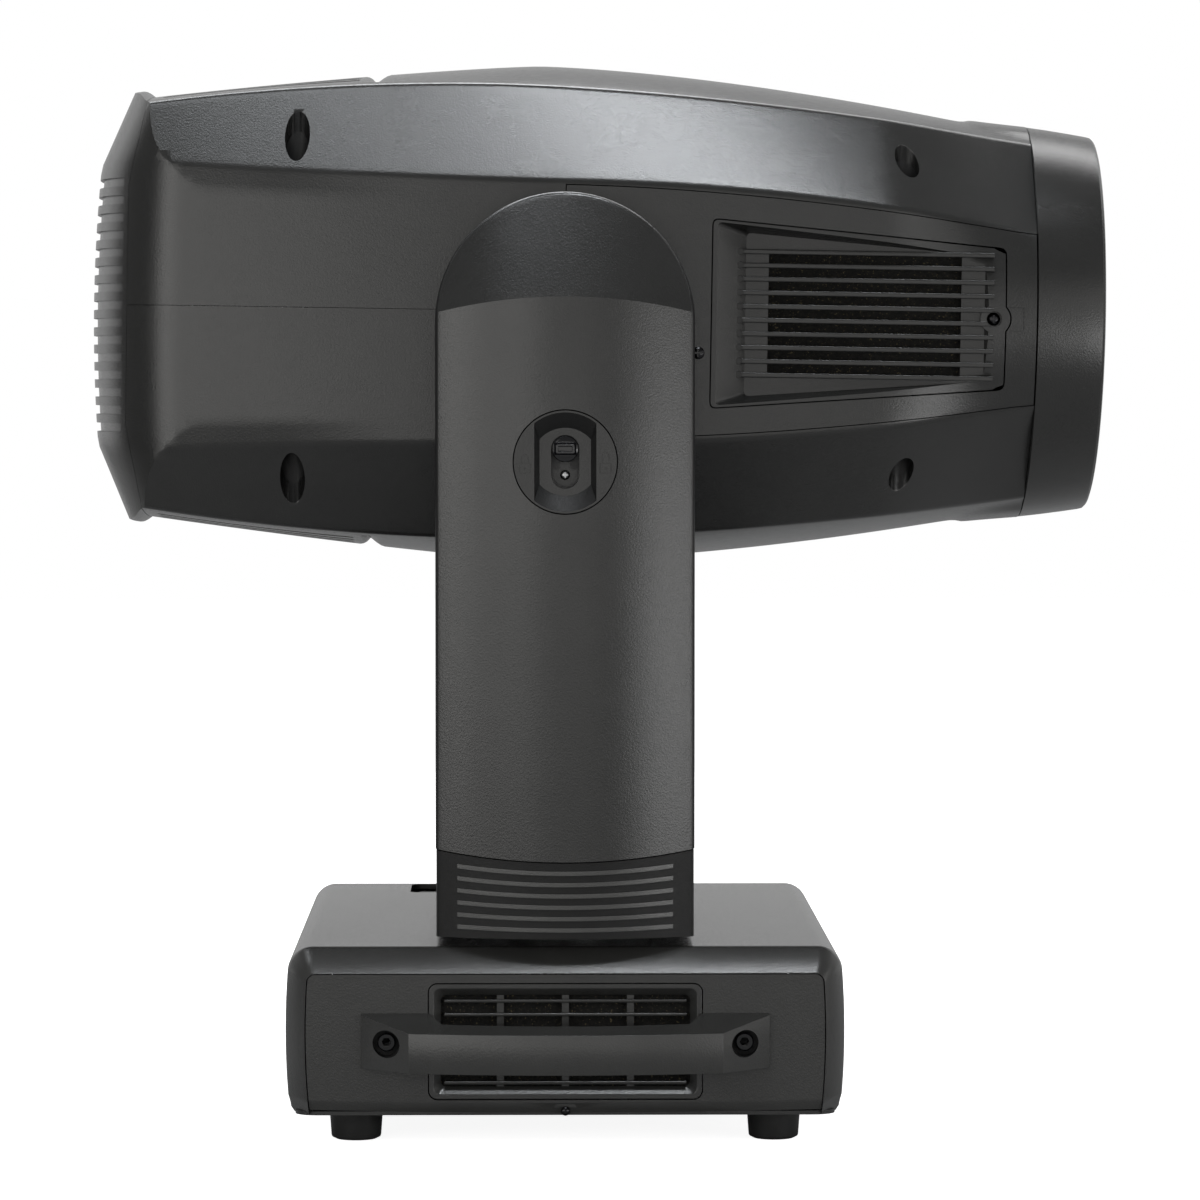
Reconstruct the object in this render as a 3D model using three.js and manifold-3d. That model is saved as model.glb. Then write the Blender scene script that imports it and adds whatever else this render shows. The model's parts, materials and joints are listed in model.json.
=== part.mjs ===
// Moving head spotlight: a base that stands or hangs, a yoke that pans on it, and a head that tilts
// between the yoke's arms. Millimetres, +Z up. The origin is on the pan axis, at the underside of the
// base plate. The beam leaves along +X. The right side of the fixture faces -Y.
import * as THREE from 'three';
import { mergeVertices } from 'three/addons/utils/BufferGeometryUtils.js';
import Module from 'manifold-3d';

const wasm = await Module();
wasm.setup();

// ---------------------------------------------------------------- driving dimensions
const GAP = 0.3;                    // running gap between neighbouring pieces
const WALL = 3;                     // moulded cover thickness
const FAR = 600;                    // reach of a cutting block

const BASE_HALF_X = 159;            // half the base's width across the beam's axis
const BASE_HALF_Y = 222;            // half its length, from side panel to side panel
const BASE_TOP = 95.6;              // top of the base above its underside
const BASE_CORNER = 13;             // radius of its long edges
const BASE_BULGE = 2.5;             // the long walls bow out this much at mid height
const FRAME_DEPTH = 12;             // depth of the slanted frame round each side panel
const FRAME_DROP = 13;              // how far that frame falls below the top
const FRAME_INSET = 11;             // and how far it comes in at the walls
const FRAME_LIP = 2.4;              // flat lip between the frame and the side panel
const FOOT_HEIGHT = 16.8;            // below the underside of the base plate's mounting pad
const FOOT_RADIUS = 15.5;
const FOOT_X = 120;
const FOOT_Y = 182;
const PLATE_TOP = 3;                // the base plate, with its mounting pad a little below the rest
const PLATE_STEP = 0.8;

const GRILLE_HALF_X = 77.7;         // air intake in each side panel of the base
const GRILLE_LOW = 10.2;
const GRILLE_HIGH = 76;
const SLAT_PITCH = 8;

const HANDLE_HALF_X = 116;          // carrying handle over each intake
const HANDLE_BAR_HALF_X = 88.5;
const HANDLE_LOW = 28.5;
const HANDLE_HIGH = 51;
const HANDLE_PAD_HIGH = 59.4;
const HANDLE_REACH = 30;            // how far the ends of the bar stand off the panel
const HANDLE_BOW = 10;              // how much further its middle does
const HANDLE_DEPTH = 17;

const ARM_HALF_X = 74;              // yoke arms
const ARM_LOW = 101.1;
const ARM_ROUND_Z = 454.2;          // centre of the arm's round top
const ARM_IN = 139.5;               // inner face of an arm
const ARM_OUT = 220;                // crest of its outer face
const ARM_SAG = 19;                 // the outer face falls back this much at its edges
const ARM_FACET_Z = 466;            // above this the outer face leans inwards
const ARM_FACET_LEAN = 24;          // degrees
const SKIRT_END_Z = 151;            // the skirt's upper edge at the arm's corners
const SKIRT_MID_Z = 144.7;          // and on the arm's centre line
const BRIDGE_HIGH = 138;

const TILT_Z = 458.7;               // tilt axis
const DROOP = 0.95;                 // the head's nose hangs this many degrees low at rest

const HEAD_FRONT = 277;             // joint between covers and bezel
const NOSE = 318;                   // front of the bezel
const BEZEL_R = 118;                // bezel radius at that joint
const BEZEL_NOSE_R = 112.5;
const HEAD_REAR = 281.6;
const REAR_START = 205;             // the rear starts to close in here
const REAR_HALF_Y = 126;
const REAR_POWER = 2.4;             // super-ellipse power of the rear in plan
const LENS_R = 92;

const LOCK_Z = 372.3;               // centre of the tilt lock
const LOCK_R = 29.2;
const LOCK_TRAVEL = 14.5;

// ---------------------------------------------------------------- materials
function material(color, roughness, metalness = 0) {
  return new THREE.MeshStandardMaterial({ color, roughness, metalness });
}
const COVER = material(0x4b4b48, 0.55);
const SKIRT = material(0x222222, 0.6);
const RUBBER = material(0x141414, 0.85);
const STEEL = material(0x8f9296, 0.35, 0.9);
const SHEET = material(0x6a6d70, 0.45, 0.8);
const ALLOY = material(0xa9abad, 0.4, 0.9);
const MOTOR = material(0x1c1c1e, 0.5, 0.3);
const GLOSS = material(0x0b0b0c, 0.15);
const GLASS = material(0xbcd0d8, 0.05);
const BELT = material(0x101010, 0.8);

// ---------------------------------------------------------------- solids
function manifoldOf(positions, indices) {
  let solid = new wasm.Manifold(new wasm.Mesh({
    numProp: 3,
    vertProperties: Float32Array.from(positions),
    triVerts: Uint32Array.from(indices),
  }));
  if (solid.volume() >= 0) return solid;
  const flipped = [];
  for (let i = 0; i < indices.length; i += 3) flipped.push(indices[i], indices[i + 2], indices[i + 1]);
  return manifoldOf(positions, flipped);
}

function solidOf(geometry) {
  geometry.deleteAttribute('normal');
  geometry.deleteAttribute('uv');
  const merged = mergeVertices(geometry, 1e-4);
  return manifoldOf(merged.attributes.position.array, merged.index.array);
}

function block(x0, x1, y0, y1, z0, z1) {
  const box = new THREE.BoxGeometry(x1 - x0, y1 - y0, z1 - z0);
  return solidOf(box.translate((x0 + x1) / 2, (y0 + y1) / 2, (z0 + z1) / 2));
}

// A plate whose outline lies in the plane across `axis`, between two places on that axis. The outline's
// coordinates are (y, z) across x, (x, z) across y and (x, y) across z.
function plate(outline, axis, from, to, holes = []) {
  const shape = new THREE.Shape(outline.map(([u, v]) => new THREE.Vector2(u, v)));
  for (const hole of holes) shape.holes.push(new THREE.Path(hole.map(([u, v]) => new THREE.Vector2(u, v))));
  const geometry = new THREE.ExtrudeGeometry(shape, { depth: to - from, bevelEnabled: false });
  geometry.translate(0, 0, from);
  const place = new THREE.Matrix4();
  if (axis === 'x') place.set(0, 0, 1, 0, 1, 0, 0, 0, 0, 1, 0, 0, 0, 0, 0, 1);
  if (axis === 'y') place.set(1, 0, 0, 0, 0, 0, 1, 0, 0, 1, 0, 0, 0, 0, 0, 1);
  geometry.applyMatrix4(place);
  return solidOf(geometry);
}

function circle(u, v, radius, sides = 20) {
  const points = [];
  for (let i = 0; i < sides; i += 1) {
    const turn = (2 * Math.PI * i) / sides;
    points.push([u + radius * Math.cos(turn), v + radius * Math.sin(turn)]);
  }
  return points;
}

function roundedRectangle(u0, u1, v0, v1, radius, steps = 3) {
  const points = [];
  const corners = [[u1 - radius, v1 - radius, 0], [u0 + radius, v1 - radius, 1],
    [u0 + radius, v0 + radius, 2], [u1 - radius, v0 + radius, 3]];
  for (const [u, v, quarter] of corners) {
    for (let i = 0; i <= steps; i += 1) {
      const turn = (quarter + i / steps) * (Math.PI / 2);
      points.push([u + radius * Math.cos(turn), v + radius * Math.sin(turn)]);
    }
  }
  return points;
}

function disc(axis, u, v, radius, from, to, sides = 20, bore = 0) {
  return plate(circle(u, v, radius, sides), axis, from, to, bore > 0 ? [circle(u, v, bore, sides)] : []);
}

// A body through a list of rings of equal length, each a list of [x, y, z] points.
function loft(rings) {
  const count = rings[0].length;
  const positions = rings.flat(2);
  const indices = [];
  for (let r = 0; r + 1 < rings.length; r += 1) {
    for (let i = 0; i < count; i += 1) {
      const a = r * count + i;
      const b = r * count + ((i + 1) % count);
      indices.push(a, b, b + count, a, b + count, a + count);
    }
  }
  const last = (rings.length - 1) * count;
  for (let i = 1; i + 1 < count; i += 1) {
    indices.push(0, i + 1, i);
    indices.push(last, last + i, last + i + 1);
  }
  return manifoldOf(positions, indices);
}

function lathe(profile, sides = 48) {
  const geometry = new THREE.LatheGeometry(profile.map(([r, h]) => new THREE.Vector2(r, h)), sides);
  geometry.rotateX(Math.PI / 2);
  return solidOf(geometry);
}

function turned(solid, x, y, z) {
  return solid.rotate([x, y, z]);
}

function union(solids) {
  return solids.reduce((sum, solid) => sum.add(solid));
}

function mirrorY(solid) {
  return solid.mirror([0, 1, 0]);
}

const fixture = new THREE.Group();
const head = new THREE.Group();
head.position.z = TILT_Z;
head.rotation.y = THREE.MathUtils.degToRad(DROOP);
fixture.add(head);

function addPiece(name, solid, finish, parent = fixture) {
  const raw = solid.getMesh();
  const geometry = new THREE.BufferGeometry();
  const points = new Float32Array((raw.vertProperties.length / raw.numProp) * 3);
  for (let i = 0; i < points.length / 3; i += 1) {
    for (let k = 0; k < 3; k += 1) points[3 * i + k] = raw.vertProperties[raw.numProp * i + k];
  }
  geometry.setAttribute('position', new THREE.BufferAttribute(points, 3));
  geometry.setIndex(new THREE.BufferAttribute(Uint32Array.from(raw.triVerts), 1));
  geometry.computeVertexNormals();
  const mesh = new THREE.Mesh(geometry, finish);
  mesh.name = name;
  parent.add(mesh);
}

// ---------------------------------------------------------------- base
// Half of the base's cross-section at a place along Y, as [x, z] points, `inset` mm inside the outer skin.
function baseSection(drop, side, inset, low) {
  const top = BASE_TOP - drop - inset;
  const half = BASE_HALF_X - side - inset;
  const radius = Math.max(BASE_CORNER - inset, 3);
  const bow = (z) => BASE_BULGE * ((2 * z) / BASE_TOP - 1) ** 2;
  const points = [];
  for (const z of [low, BASE_TOP * 0.28, BASE_TOP * 0.55]) points.push([half - bow(z), z]);
  for (let i = 0; i <= 4; i += 1) {
    const turn = (i / 4) * (Math.PI / 2);
    const z = top - radius + radius * Math.sin(turn);
    points.push([half - bow(z) - radius + radius * Math.cos(turn), z]);
  }
  return [...points, ...points.map(([x, z]) => [-x, z]).reverse()];
}

function ringAtY(section, y) {
  return section.map(([x, z]) => [x, y, z]);
}

function baseShell() {
  const full = baseSection(0, 0, 0, 0);
  const narrow = baseSection(FRAME_DROP, FRAME_INSET, 0, 0);
  const edge = BASE_HALF_Y - FRAME_DEPTH;
  const outer = loft([ringAtY(narrow, -BASE_HALF_Y), ringAtY(full, -edge), ringAtY(full, edge),
    ringAtY(narrow, BASE_HALF_Y)]);
  const wide = baseSection(0, 0, WALL, -5);
  const mouth = baseSection(FRAME_DROP, FRAME_INSET, FRAME_LIP, -5);
  const inner = loft([ringAtY(mouth, -BASE_HALF_Y - 1), ringAtY(mouth, -BASE_HALF_Y + 4),
    ringAtY(wide, -edge + 3), ringAtY(wide, edge - 3), ringAtY(mouth, BASE_HALF_Y - 4),
    ringAtY(mouth, BASE_HALF_Y + 1)]);
  return outer.subtract(inner)
    .subtract(disc('z', 0, 0, 46.6, 60, 120, 24))
    .subtract(plate(panLockSlot(0), 'z', 60, 120))
    .subtract(plate(controlOutline(GAP), 'x', 100, 200))
    .subtract(plate(connectorOutline(GAP), 'x', -200, -100));
}

function panLockSlot(inset) {
  return roundedRectangle(-95 + inset, -61 - inset, 137 + inset, 195 - inset, 6 - inset);
}

function controlOutline(grow) {
  return roundedRectangle(-95 - grow, 95 + grow, 16 - grow, 78 + grow, 6);
}

function connectorOutline(grow) {
  return roundedRectangle(-150 - grow, 150 + grow, 12 - grow, 76 + grow, 5);
}

function sidePanelOutline() {
  return baseSection(FRAME_DROP, FRAME_INSET, FRAME_LIP + GAP, 1);
}

function grilleOutline(grow) {
  return roundedRectangle(-GRILLE_HALF_X - grow, GRILLE_HALF_X + grow, GRILLE_LOW - grow,
    GRILLE_HIGH + grow, 8);
}

// The near side's pieces are at -Y. The other side's are their mirror images.
function baseSidePanel() {
  return plate(sidePanelOutline(), 'y', -BASE_HALF_Y + 1, -BASE_HALF_Y + 4, [grilleOutline(GAP)]);
}

function baseGrille() {
  const front = -BASE_HALF_Y + 1.6;
  const ring = plate(grilleOutline(0), 'y', front, front + 7, [grilleOutline(-5)]);
  const slats = [];
  for (let z = GRILLE_HIGH - 10; z > GRILLE_LOW + 6; z -= SLAT_PITCH) {
    slats.push(block(-GRILLE_HALF_X + 4, GRILLE_HALF_X - 4, front + 2, front + 6, z - 1.2, z + 1.2));
  }
  return union([ring, ...slats]);
}

// A bar that bows away from the panel, on two wedge-shaped ends that stand on it.
function handle() {
  const face = -BASE_HALF_Y + 1 - GAP;
  const out = (x) => HANDLE_REACH + HANDLE_BOW * (1 - (x / HANDLE_BAR_HALF_X) ** 2);
  const outline = [[-HANDLE_HALF_X, face], [-HANDLE_HALF_X, face - 3]];
  const inside = [];
  const steps = 8;
  for (let i = 0; i <= steps; i += 1) {
    const x = HANDLE_BAR_HALF_X * ((2 * i) / steps - 1);
    outline.push([x, face - out(x)]);
    if (Math.abs(x) < 70) inside.push([x * 1.12, face - out(x) + HANDLE_DEPTH]);
  }
  outline.push([HANDLE_HALF_X, face - 3], [HANDLE_HALF_X, face]);
  const bar = plate([...outline, [HANDLE_BAR_HALF_X - 8, face], ...inside.reverse(),
    [-HANDLE_BAR_HALF_X + 8, face]], 'z', HANDLE_LOW, HANDLE_PAD_HIGH);
  const slope = new THREE.BoxGeometry(FAR, FAR, 60);
  slope.translate(0, 0, 30);
  slope.rotateX(Math.atan2(HANDLE_PAD_HIGH - HANDLE_HIGH, HANDLE_REACH + HANDLE_BOW));
  slope.translate(0, face, HANDLE_PAD_HIGH);
  const wells = [-1, 1].map((s) => disc('y', s * 102, 44, 7.4, face - 60, face - 4, 16));
  return bar.subtract(solidOf(slope)).subtract(wells[0]).subtract(wells[1]);
}

function foot(x, y) {
  const top = PLATE_STEP - GAP;
  return lathe([[0, -FOOT_HEIGHT], [FOOT_RADIUS - 1.2, -FOOT_HEIGHT], [FOOT_RADIUS, top], [0, top]], 20)
    .translate([x, y, 0]);
}

// The plate that closes the base from below. The pad between its feet is the fixture's mounting face.
function basePlate() {
  const [x, y, cut] = [151, 216, 14];
  const half = [[x, y - cut], [x - cut, y], [cut - x, y], [-x, y - cut]];
  const pad = plate(roundedRectangle(-96, 96, -150, 150, 10), 'z', 0, PLATE_TOP);
  return plate([...half, ...half.map(([u, v]) => [-u, -v])], 'z', PLATE_STEP, PLATE_TOP).add(pad);
}

function addBase() {
  addPiece('base_plate', basePlate(), SHEET);
  addPiece('base_shell', baseShell(), COVER);
  const sided = { base_side_panel: [baseSidePanel(), COVER], base_grille: [baseGrille(), COVER],
    handle: [handle(), SKIRT] };
  for (const [name, [solid, finish]] of Object.entries(sided)) {
    addPiece(`${name}_right`, solid, finish);
    addPiece(`${name}_left`, mirrorY(solid), finish);
  }
  for (const [name, x, y] of [['front_right', 1, -1], ['front_left', 1, 1], ['rear_right', -1, -1],
    ['rear_left', -1, 1]]) {
    addPiece(`foot_${name}`, foot(x * FOOT_X, y * FOOT_Y), RUBBER);
  }
}

// ---------------------------------------------------------------- control and connector panels
const PANEL_FACE = BASE_HALF_X - 3.5;
const BUTTONS = { up: [40, 62], down: [40, 32], back: [25, 47], enter: [55, 47] };

function controlPanel() {
  return plate(controlOutline(0), 'x', PANEL_FACE - 4, PANEL_FACE,
    [roundedRectangle(-78, 2, 24, 70, 2), ...Object.values(BUTTONS).map(([y, z]) => circle(y, z, 6.6, 12))]);
}

function menuButton(y, z) {
  return disc('x', y, z, 6, PANEL_FACE - 5, PANEL_FACE + 2, 12)
    .add(disc('x', y, z, 7.5, PANEL_FACE - 7, PANEL_FACE - 4 - GAP, 12));
}

function displayWindow() {
  return plate(roundedRectangle(-78 + GAP, 2 - GAP, 24 + GAP, 70 - GAP, 2), 'x', PANEL_FACE - 3,
    PANEL_FACE - 0.5);
}

const SOCKETS = { power_inlet: [-110, 13.5], data_in_socket: [-40, 12], data_out_socket: [0, 12] };

function connectorPanel() {
  return plate(connectorOutline(0), 'x', -PANEL_FACE, -PANEL_FACE + 4,
    Object.values(SOCKETS).map(([y, radius]) => circle(y, 44, radius + 2 * GAP, 16)));
}

function socket(y, radius) {
  const shell = disc('x', y, 44, radius, -PANEL_FACE - 1, -PANEL_FACE + 28, 16);
  const flange = disc('x', y, 44, radius + 2.5, -PANEL_FACE + 4 + GAP, -PANEL_FACE + 7, 12);
  return shell.add(flange).subtract(disc('x', y, 44, radius - 3, -PANEL_FACE - 5, -PANEL_FACE + 18, 12));
}

function addPanels() {
  addPiece('control_panel', controlPanel(), GLOSS);
  addPiece('display_window', displayWindow(), GLASS);
  for (const [name, [y, z]] of Object.entries(BUTTONS)) addPiece(`menu_button_${name}`, menuButton(y, z), SKIRT);
  addPiece('connector_panel', connectorPanel(), SHEET);
  for (const [name, [y, radius]] of Object.entries(SOCKETS)) addPiece(name, socket(y, radius), GLOSS);
}

// ---------------------------------------------------------------- drives
// Two pulleys on parallel axes and the belt round them. Positions are in the plane across the axis.
function beltLoop(axis, big, small, bigR, smallR, from, to) {
  const loop = (grow) => {
    const dx = small[0] - big[0];
    const dy = small[1] - big[1];
    const apart = Math.hypot(dx, dy);
    const heading = Math.atan2(dy, dx);
    const lean = Math.acos((bigR - smallR) / apart);
    const arc = (centre, radius, start, end, steps) => Array.from({ length: steps + 1 }, (_, i) => {
      const turn = start + ((end - start) * i) / steps;
      return [centre[0] + radius * Math.cos(turn), centre[1] + radius * Math.sin(turn)];
    });
    return [...arc(big, bigR + grow, heading + lean, heading + 2 * Math.PI - lean, 20),
      ...arc(small, smallR + grow, heading - lean, heading + lean, 6)];
  };
  return plate(loop(2.4), axis, from, to, [loop(0.9)]);
}

const PAN_PULLEY_R = 55;
const PAN_MOTOR_AT = [-98, 0];
const MOTOR_PULLEY_R = 11;
const PAN_BELT_LOW = 66;
const PULLEY_WIDTH = 10;

function panSpindle() {
  const tube = disc('z', 0, 0, 30, 58, 107.7, 24);
  const flange = disc('z', 0, 0, 42, 98.2, 101, 24);
  const pulley = disc('z', 0, 0, PAN_PULLEY_R, PAN_BELT_LOW, PAN_BELT_LOW + PULLEY_WIDTH, 32);
  return union([tube, flange, pulley]).subtract(disc('z', 0, 0, 22, 50, 120, 16));
}

function motor(size, length, shaft) {
  const can = plate(roundedRectangle(-size / 2, size / 2, -size / 2, size / 2, 6, 1), 'z', 0, length);
  return can.add(disc('z', 0, 0, 3.2, length - 1, length + shaft, 12));
}

function motorPulley(from) {
  return disc('z', 0, 0, MOTOR_PULLEY_R, from, from + PULLEY_WIDTH, 20, 3.5);
}

function addPanDrive() {
  addPiece('power_supply', block(20, 140, -190, -80, PLATE_TOP + GAP, 58), SHEET);
  addPiece('pan_motor', motor(56, 52, 26).translate([...PAN_MOTOR_AT, PLATE_TOP + GAP]), MOTOR);
  addPiece('pan_motor_pulley', motorPulley(PAN_BELT_LOW).translate([...PAN_MOTOR_AT, 0]), ALLOY);
  addPiece('pan_belt', beltLoop('z', [0, 0], PAN_MOTOR_AT, PAN_PULLEY_R, MOTOR_PULLEY_R,
    PAN_BELT_LOW + 1, PAN_BELT_LOW + PULLEY_WIDTH - 1), BELT);
  addPiece('pan_bearing', disc('z', 0, 0, 45.7, 80, 95.6, 24, 30.6), STEEL);
  addPiece('pan_lock_slider', plate(roundedRectangle(-90, -66, 140, 162, 4), 'z', 84, 94)
    .add(block(-94, -62, 139, 163, 80, 84)), GLOSS);
  addPiece('pan_spindle', panSpindle(), ALLOY);
}

// ---------------------------------------------------------------- yoke
function armOutline(inset, low) {
  const points = [[-ARM_HALF_X + inset, low], [ARM_HALF_X - inset, low]];
  for (let i = 0; i <= 14; i += 1) {
    const turn = (Math.PI * i) / 14;
    points.push([(ARM_HALF_X - inset) * Math.cos(turn), ARM_ROUND_Z + (ARM_HALF_X - inset) * Math.sin(turn)]);
  }
  return points;
}

function armPlan(inset, inner) {
  const points = [[ARM_HALF_X - inset, -inner], [-ARM_HALF_X + inset, -inner]];
  for (let i = 0; i <= 8; i += 1) {
    const x = (ARM_HALF_X - inset) * (i / 4 - 1);
    points.push([x, -ARM_OUT + inset + ARM_SAG * (x / ARM_HALF_X) ** 2]);
  }
  return points;
}

// The solid bounded by the arm's skin, `inset` mm inside it, from its inner face to its crest.
function armSolid(inset, inner, low) {
  const lean = new THREE.BoxGeometry(FAR, FAR, FAR);
  lean.translate(0, -FAR / 2, FAR / 2);
  lean.rotateX(THREE.MathUtils.degToRad(-ARM_FACET_LEAN));
  lean.translate(0, -ARM_OUT + inset, ARM_FACET_Z - inset * 0.2);
  return plate(armOutline(inset, low), 'y', -ARM_OUT - 10, -inner)
    .intersect(plate(armPlan(inset, inner), 'z', low, FAR))
    .subtract(solidOf(lean));
}

function skirtEdge(shift) {
  const points = [[-FAR / 2, 0], [FAR / 2, 0]];
  for (let i = 8; i >= 0; i -= 1) {
    const x = ARM_HALF_X * (i / 4 - 1);
    points.push([x, SKIRT_MID_Z + (SKIRT_END_Z - SKIRT_MID_Z) * (x / ARM_HALF_X) ** 2 + shift]);
  }
  return plate(points, 'y', -FAR, 0);
}

const ARM_SPLIT = ARM_IN + 3;       // the inner cover is this side of here, and the outer cover that side

function armOuterCover() {
  return armSolid(0, ARM_SPLIT + GAP, ARM_LOW)
    .subtract(armSolid(WALL, 100, ARM_LOW - 10))
    .subtract(skirtEdge(GAP / 2));
}

function armSkirt() {
  return armSolid(0.8, ARM_SPLIT + GAP, ARM_LOW)
    .subtract(armSolid(WALL + 0.8, 100, ARM_LOW - 10))
    .intersect(skirtEdge(-GAP / 2));
}

function armInnerCover() {
  return plate(armOutline(0, BRIDGE_HIGH + GAP), 'y', -ARM_SPLIT, -ARM_IN, [circle(0, TILT_Z, 24)]);
}

function yokeFrame() {
  const bridge = plate(roundedRectangle(-52, 52, -162, 162, 8, 1), 'z', 108, 114, [circle(0, 0, 24)]);
  const side = plate([[-50, 110], [50, 110], [50, 400], [36, 490], [-36, 490], [-50, 400]], 'y', -156, -150,
    [circle(0, TILT_Z, 15.4)]);
  const lip = block(-50, 50, -162, -150, 108, 114);
  return union([bridge, side, lip, mirrorY(side)]);
}

function bridgeCover() {
  const half = [[ARM_HALF_X, ARM_LOW], [ARM_HALF_X, BRIDGE_HIGH - 12], [ARM_HALF_X - 4, BRIDGE_HIGH - 3],
    [ARM_HALF_X - 12, BRIDGE_HIGH]];
  const section = [...half, ...half.map(([x, z]) => [-x, z]).reverse()];
  const inside = section.map(([x, z]) => [x - Math.sign(x) * WALL, z === ARM_LOW ? z - 5 : z - WALL]);
  return plate(section, 'y', -ARM_SPLIT, ARM_SPLIT).subtract(plate(inside, 'y', -FAR, FAR));
}

const TILT_MOTOR_Z = 330;
const TILT_PULLEY_R = 38;
const TILT_PULLEY_Y = 158;          // inner face of the pulley on the left trunnion
const TILT_MOTOR_Y = 171;           // mounting face of the tilt motor, which points inwards
const TILT_MOTOR_LENGTH = 38;

function motorMount() {
  const half = 33;
  const cheeks = [-half - 3, half].map((x) => block(x, x + 3, 155, 200, TILT_MOTOR_Z - 24, TILT_MOTOR_Z + 24));
  return union(cheeks);
}

function lockBezel() {
  const front = -ARM_OUT + 1;
  const ring = disc('y', 0, LOCK_Z, LOCK_R, front, front + 14, 32);
  const channel = plate(roundedRectangle(-16, 16, LOCK_Z - 18.5, LOCK_Z + 19.5, 4), 'y', front - 5, front + 6);
  const slot = plate(roundedRectangle(-8, 8, LOCK_Z - 15.3, LOCK_Z + 15.3, 7.9), 'y', front - 5, front + 30);
  return ring.subtract(channel).subtract(slot);
}

function lockSlider() {
  const front = -ARM_OUT + 3;
  const knob = disc('y', 0, LOCK_Z + LOCK_TRAVEL / 2, 7.4, front, front + 16, 20);
  const shoe = block(-10, 10, front + 12.6, front + 17, LOCK_Z - 4, LOCK_Z + 18);
  return knob.add(shoe);
}

function tiltMotor() {
  return turned(motor(56, TILT_MOTOR_LENGTH, 13), 90, 0, 0)
    .translate([0, TILT_MOTOR_Y + TILT_MOTOR_LENGTH, TILT_MOTOR_Z]);
}

function addYoke() {
  const sided = { arm_cover_outer: [armOuterCover(), COVER], arm_skirt: [armSkirt(), SKIRT],
    arm_cover_inner: [armInnerCover(), COVER] };
  const lockHole = disc('y', 0, LOCK_Z, LOCK_R + GAP, -FAR, -180, 32);
  for (const [name, [solid, finish]] of Object.entries(sided)) {
    addPiece(`${name}_right`, solid.subtract(lockHole), finish);
    addPiece(`${name}_left`, mirrorY(solid), finish);
  }
  addPiece('yoke_frame', yokeFrame().add(motorMount()), STEEL);
  addPiece('bridge_cover', bridgeCover(), COVER);
  addPiece('tilt_lock_bezel', lockBezel(), SKIRT);
  addPiece('tilt_lock_slider', lockSlider(), GLOSS);
  addPiece('tilt_motor', tiltMotor(), MOTOR);
  addPiece('tilt_motor_pulley', disc('y', 0, TILT_MOTOR_Z, MOTOR_PULLEY_R, TILT_PULLEY_Y,
    TILT_PULLEY_Y + PULLEY_WIDTH, 20, 3.5), ALLOY);
  addPiece('tilt_belt', beltLoop('y', [0, TILT_Z], [0, TILT_MOTOR_Z], TILT_PULLEY_R, MOTOR_PULLEY_R,
    TILT_PULLEY_Y + 1, TILT_PULLEY_Y + PULLEY_WIDTH - 1), BELT);
}

// ---------------------------------------------------------------- head
// The head is drawn about the tilt axis: x along the beam, y across it and v above the axis. Its cross-section
// is the same above and below: a crowned top, a slanted facet down each side, and an upright side wall.
// Towards the bezel it turns into a circle, and in plan the rear closes in on a super-ellipse.
const CREST_X = -16;                // highest place of the crown
const CREST = 150;
const ROUNDING_X = 205;             // from here to the bezel the section turns round
const SEAM_X = -256;                // joint between the covers and the rear cap
const CAP_PROUD = 3.6;              // the rear cap's rim stands above the vents
const VENT_FRONT = -113;
const VENT_HALF_Y = 97;
const TRUNNION_R = 15;
const GRILLE_FLOOR_Y = 116.5;       // floor of the side grilles, which is upright and square to Y

const smooth = (t) => {
  const u = Math.min(Math.max(t, 0), 1);
  return u * u * (3 - 2 * u);
};
const mix = (a, b, t) => a + (b - a) * t;

function crown(x) {
  if (x > CREST_X) return CREST - 28 * ((x - CREST_X) / 243) ** 1.6;
  return CREST - 22 * ((CREST_X - x) / 230) ** 1.26;
}

// Upper and lower edges of the facet, as [y, v].
function facetTop(x) {
  const y = 104 - 20 * (Math.max(x + 80, 0) / 280) ** 2;
  const v = 133 - (x < -50 ? 15 : 12.9) * ((x + 50) / 200) ** 2;
  const t = smooth((x - ROUNDING_X) / (HEAD_FRONT - ROUNDING_X));
  return [mix(y, 52, t), mix(v, 106, t)];
}

function sideHalf(x) {
  return x < 0 ? 136 - 6 * (Math.max(x, -REAR_START) / 155) ** 2 : 136 - 10 * (x / 199) ** 2;
}

function facetFoot(x) {
  const v = x < 0 ? 77.6 - 3.8 * (x / 179) : 77.6 - 27.7 * (x / 276) ** 2.2;
  const t = smooth((x - ROUNDING_X) / (HEAD_FRONT - ROUNDING_X));
  return [mix(sideHalf(x), 107, t), v];
}

function collar(x) {
  return x < 245 ? 121 - 0.05 * (245 - x) ** 2 : 121 - 3 * ((x - 245) / (HEAD_FRONT - 245));
}

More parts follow.
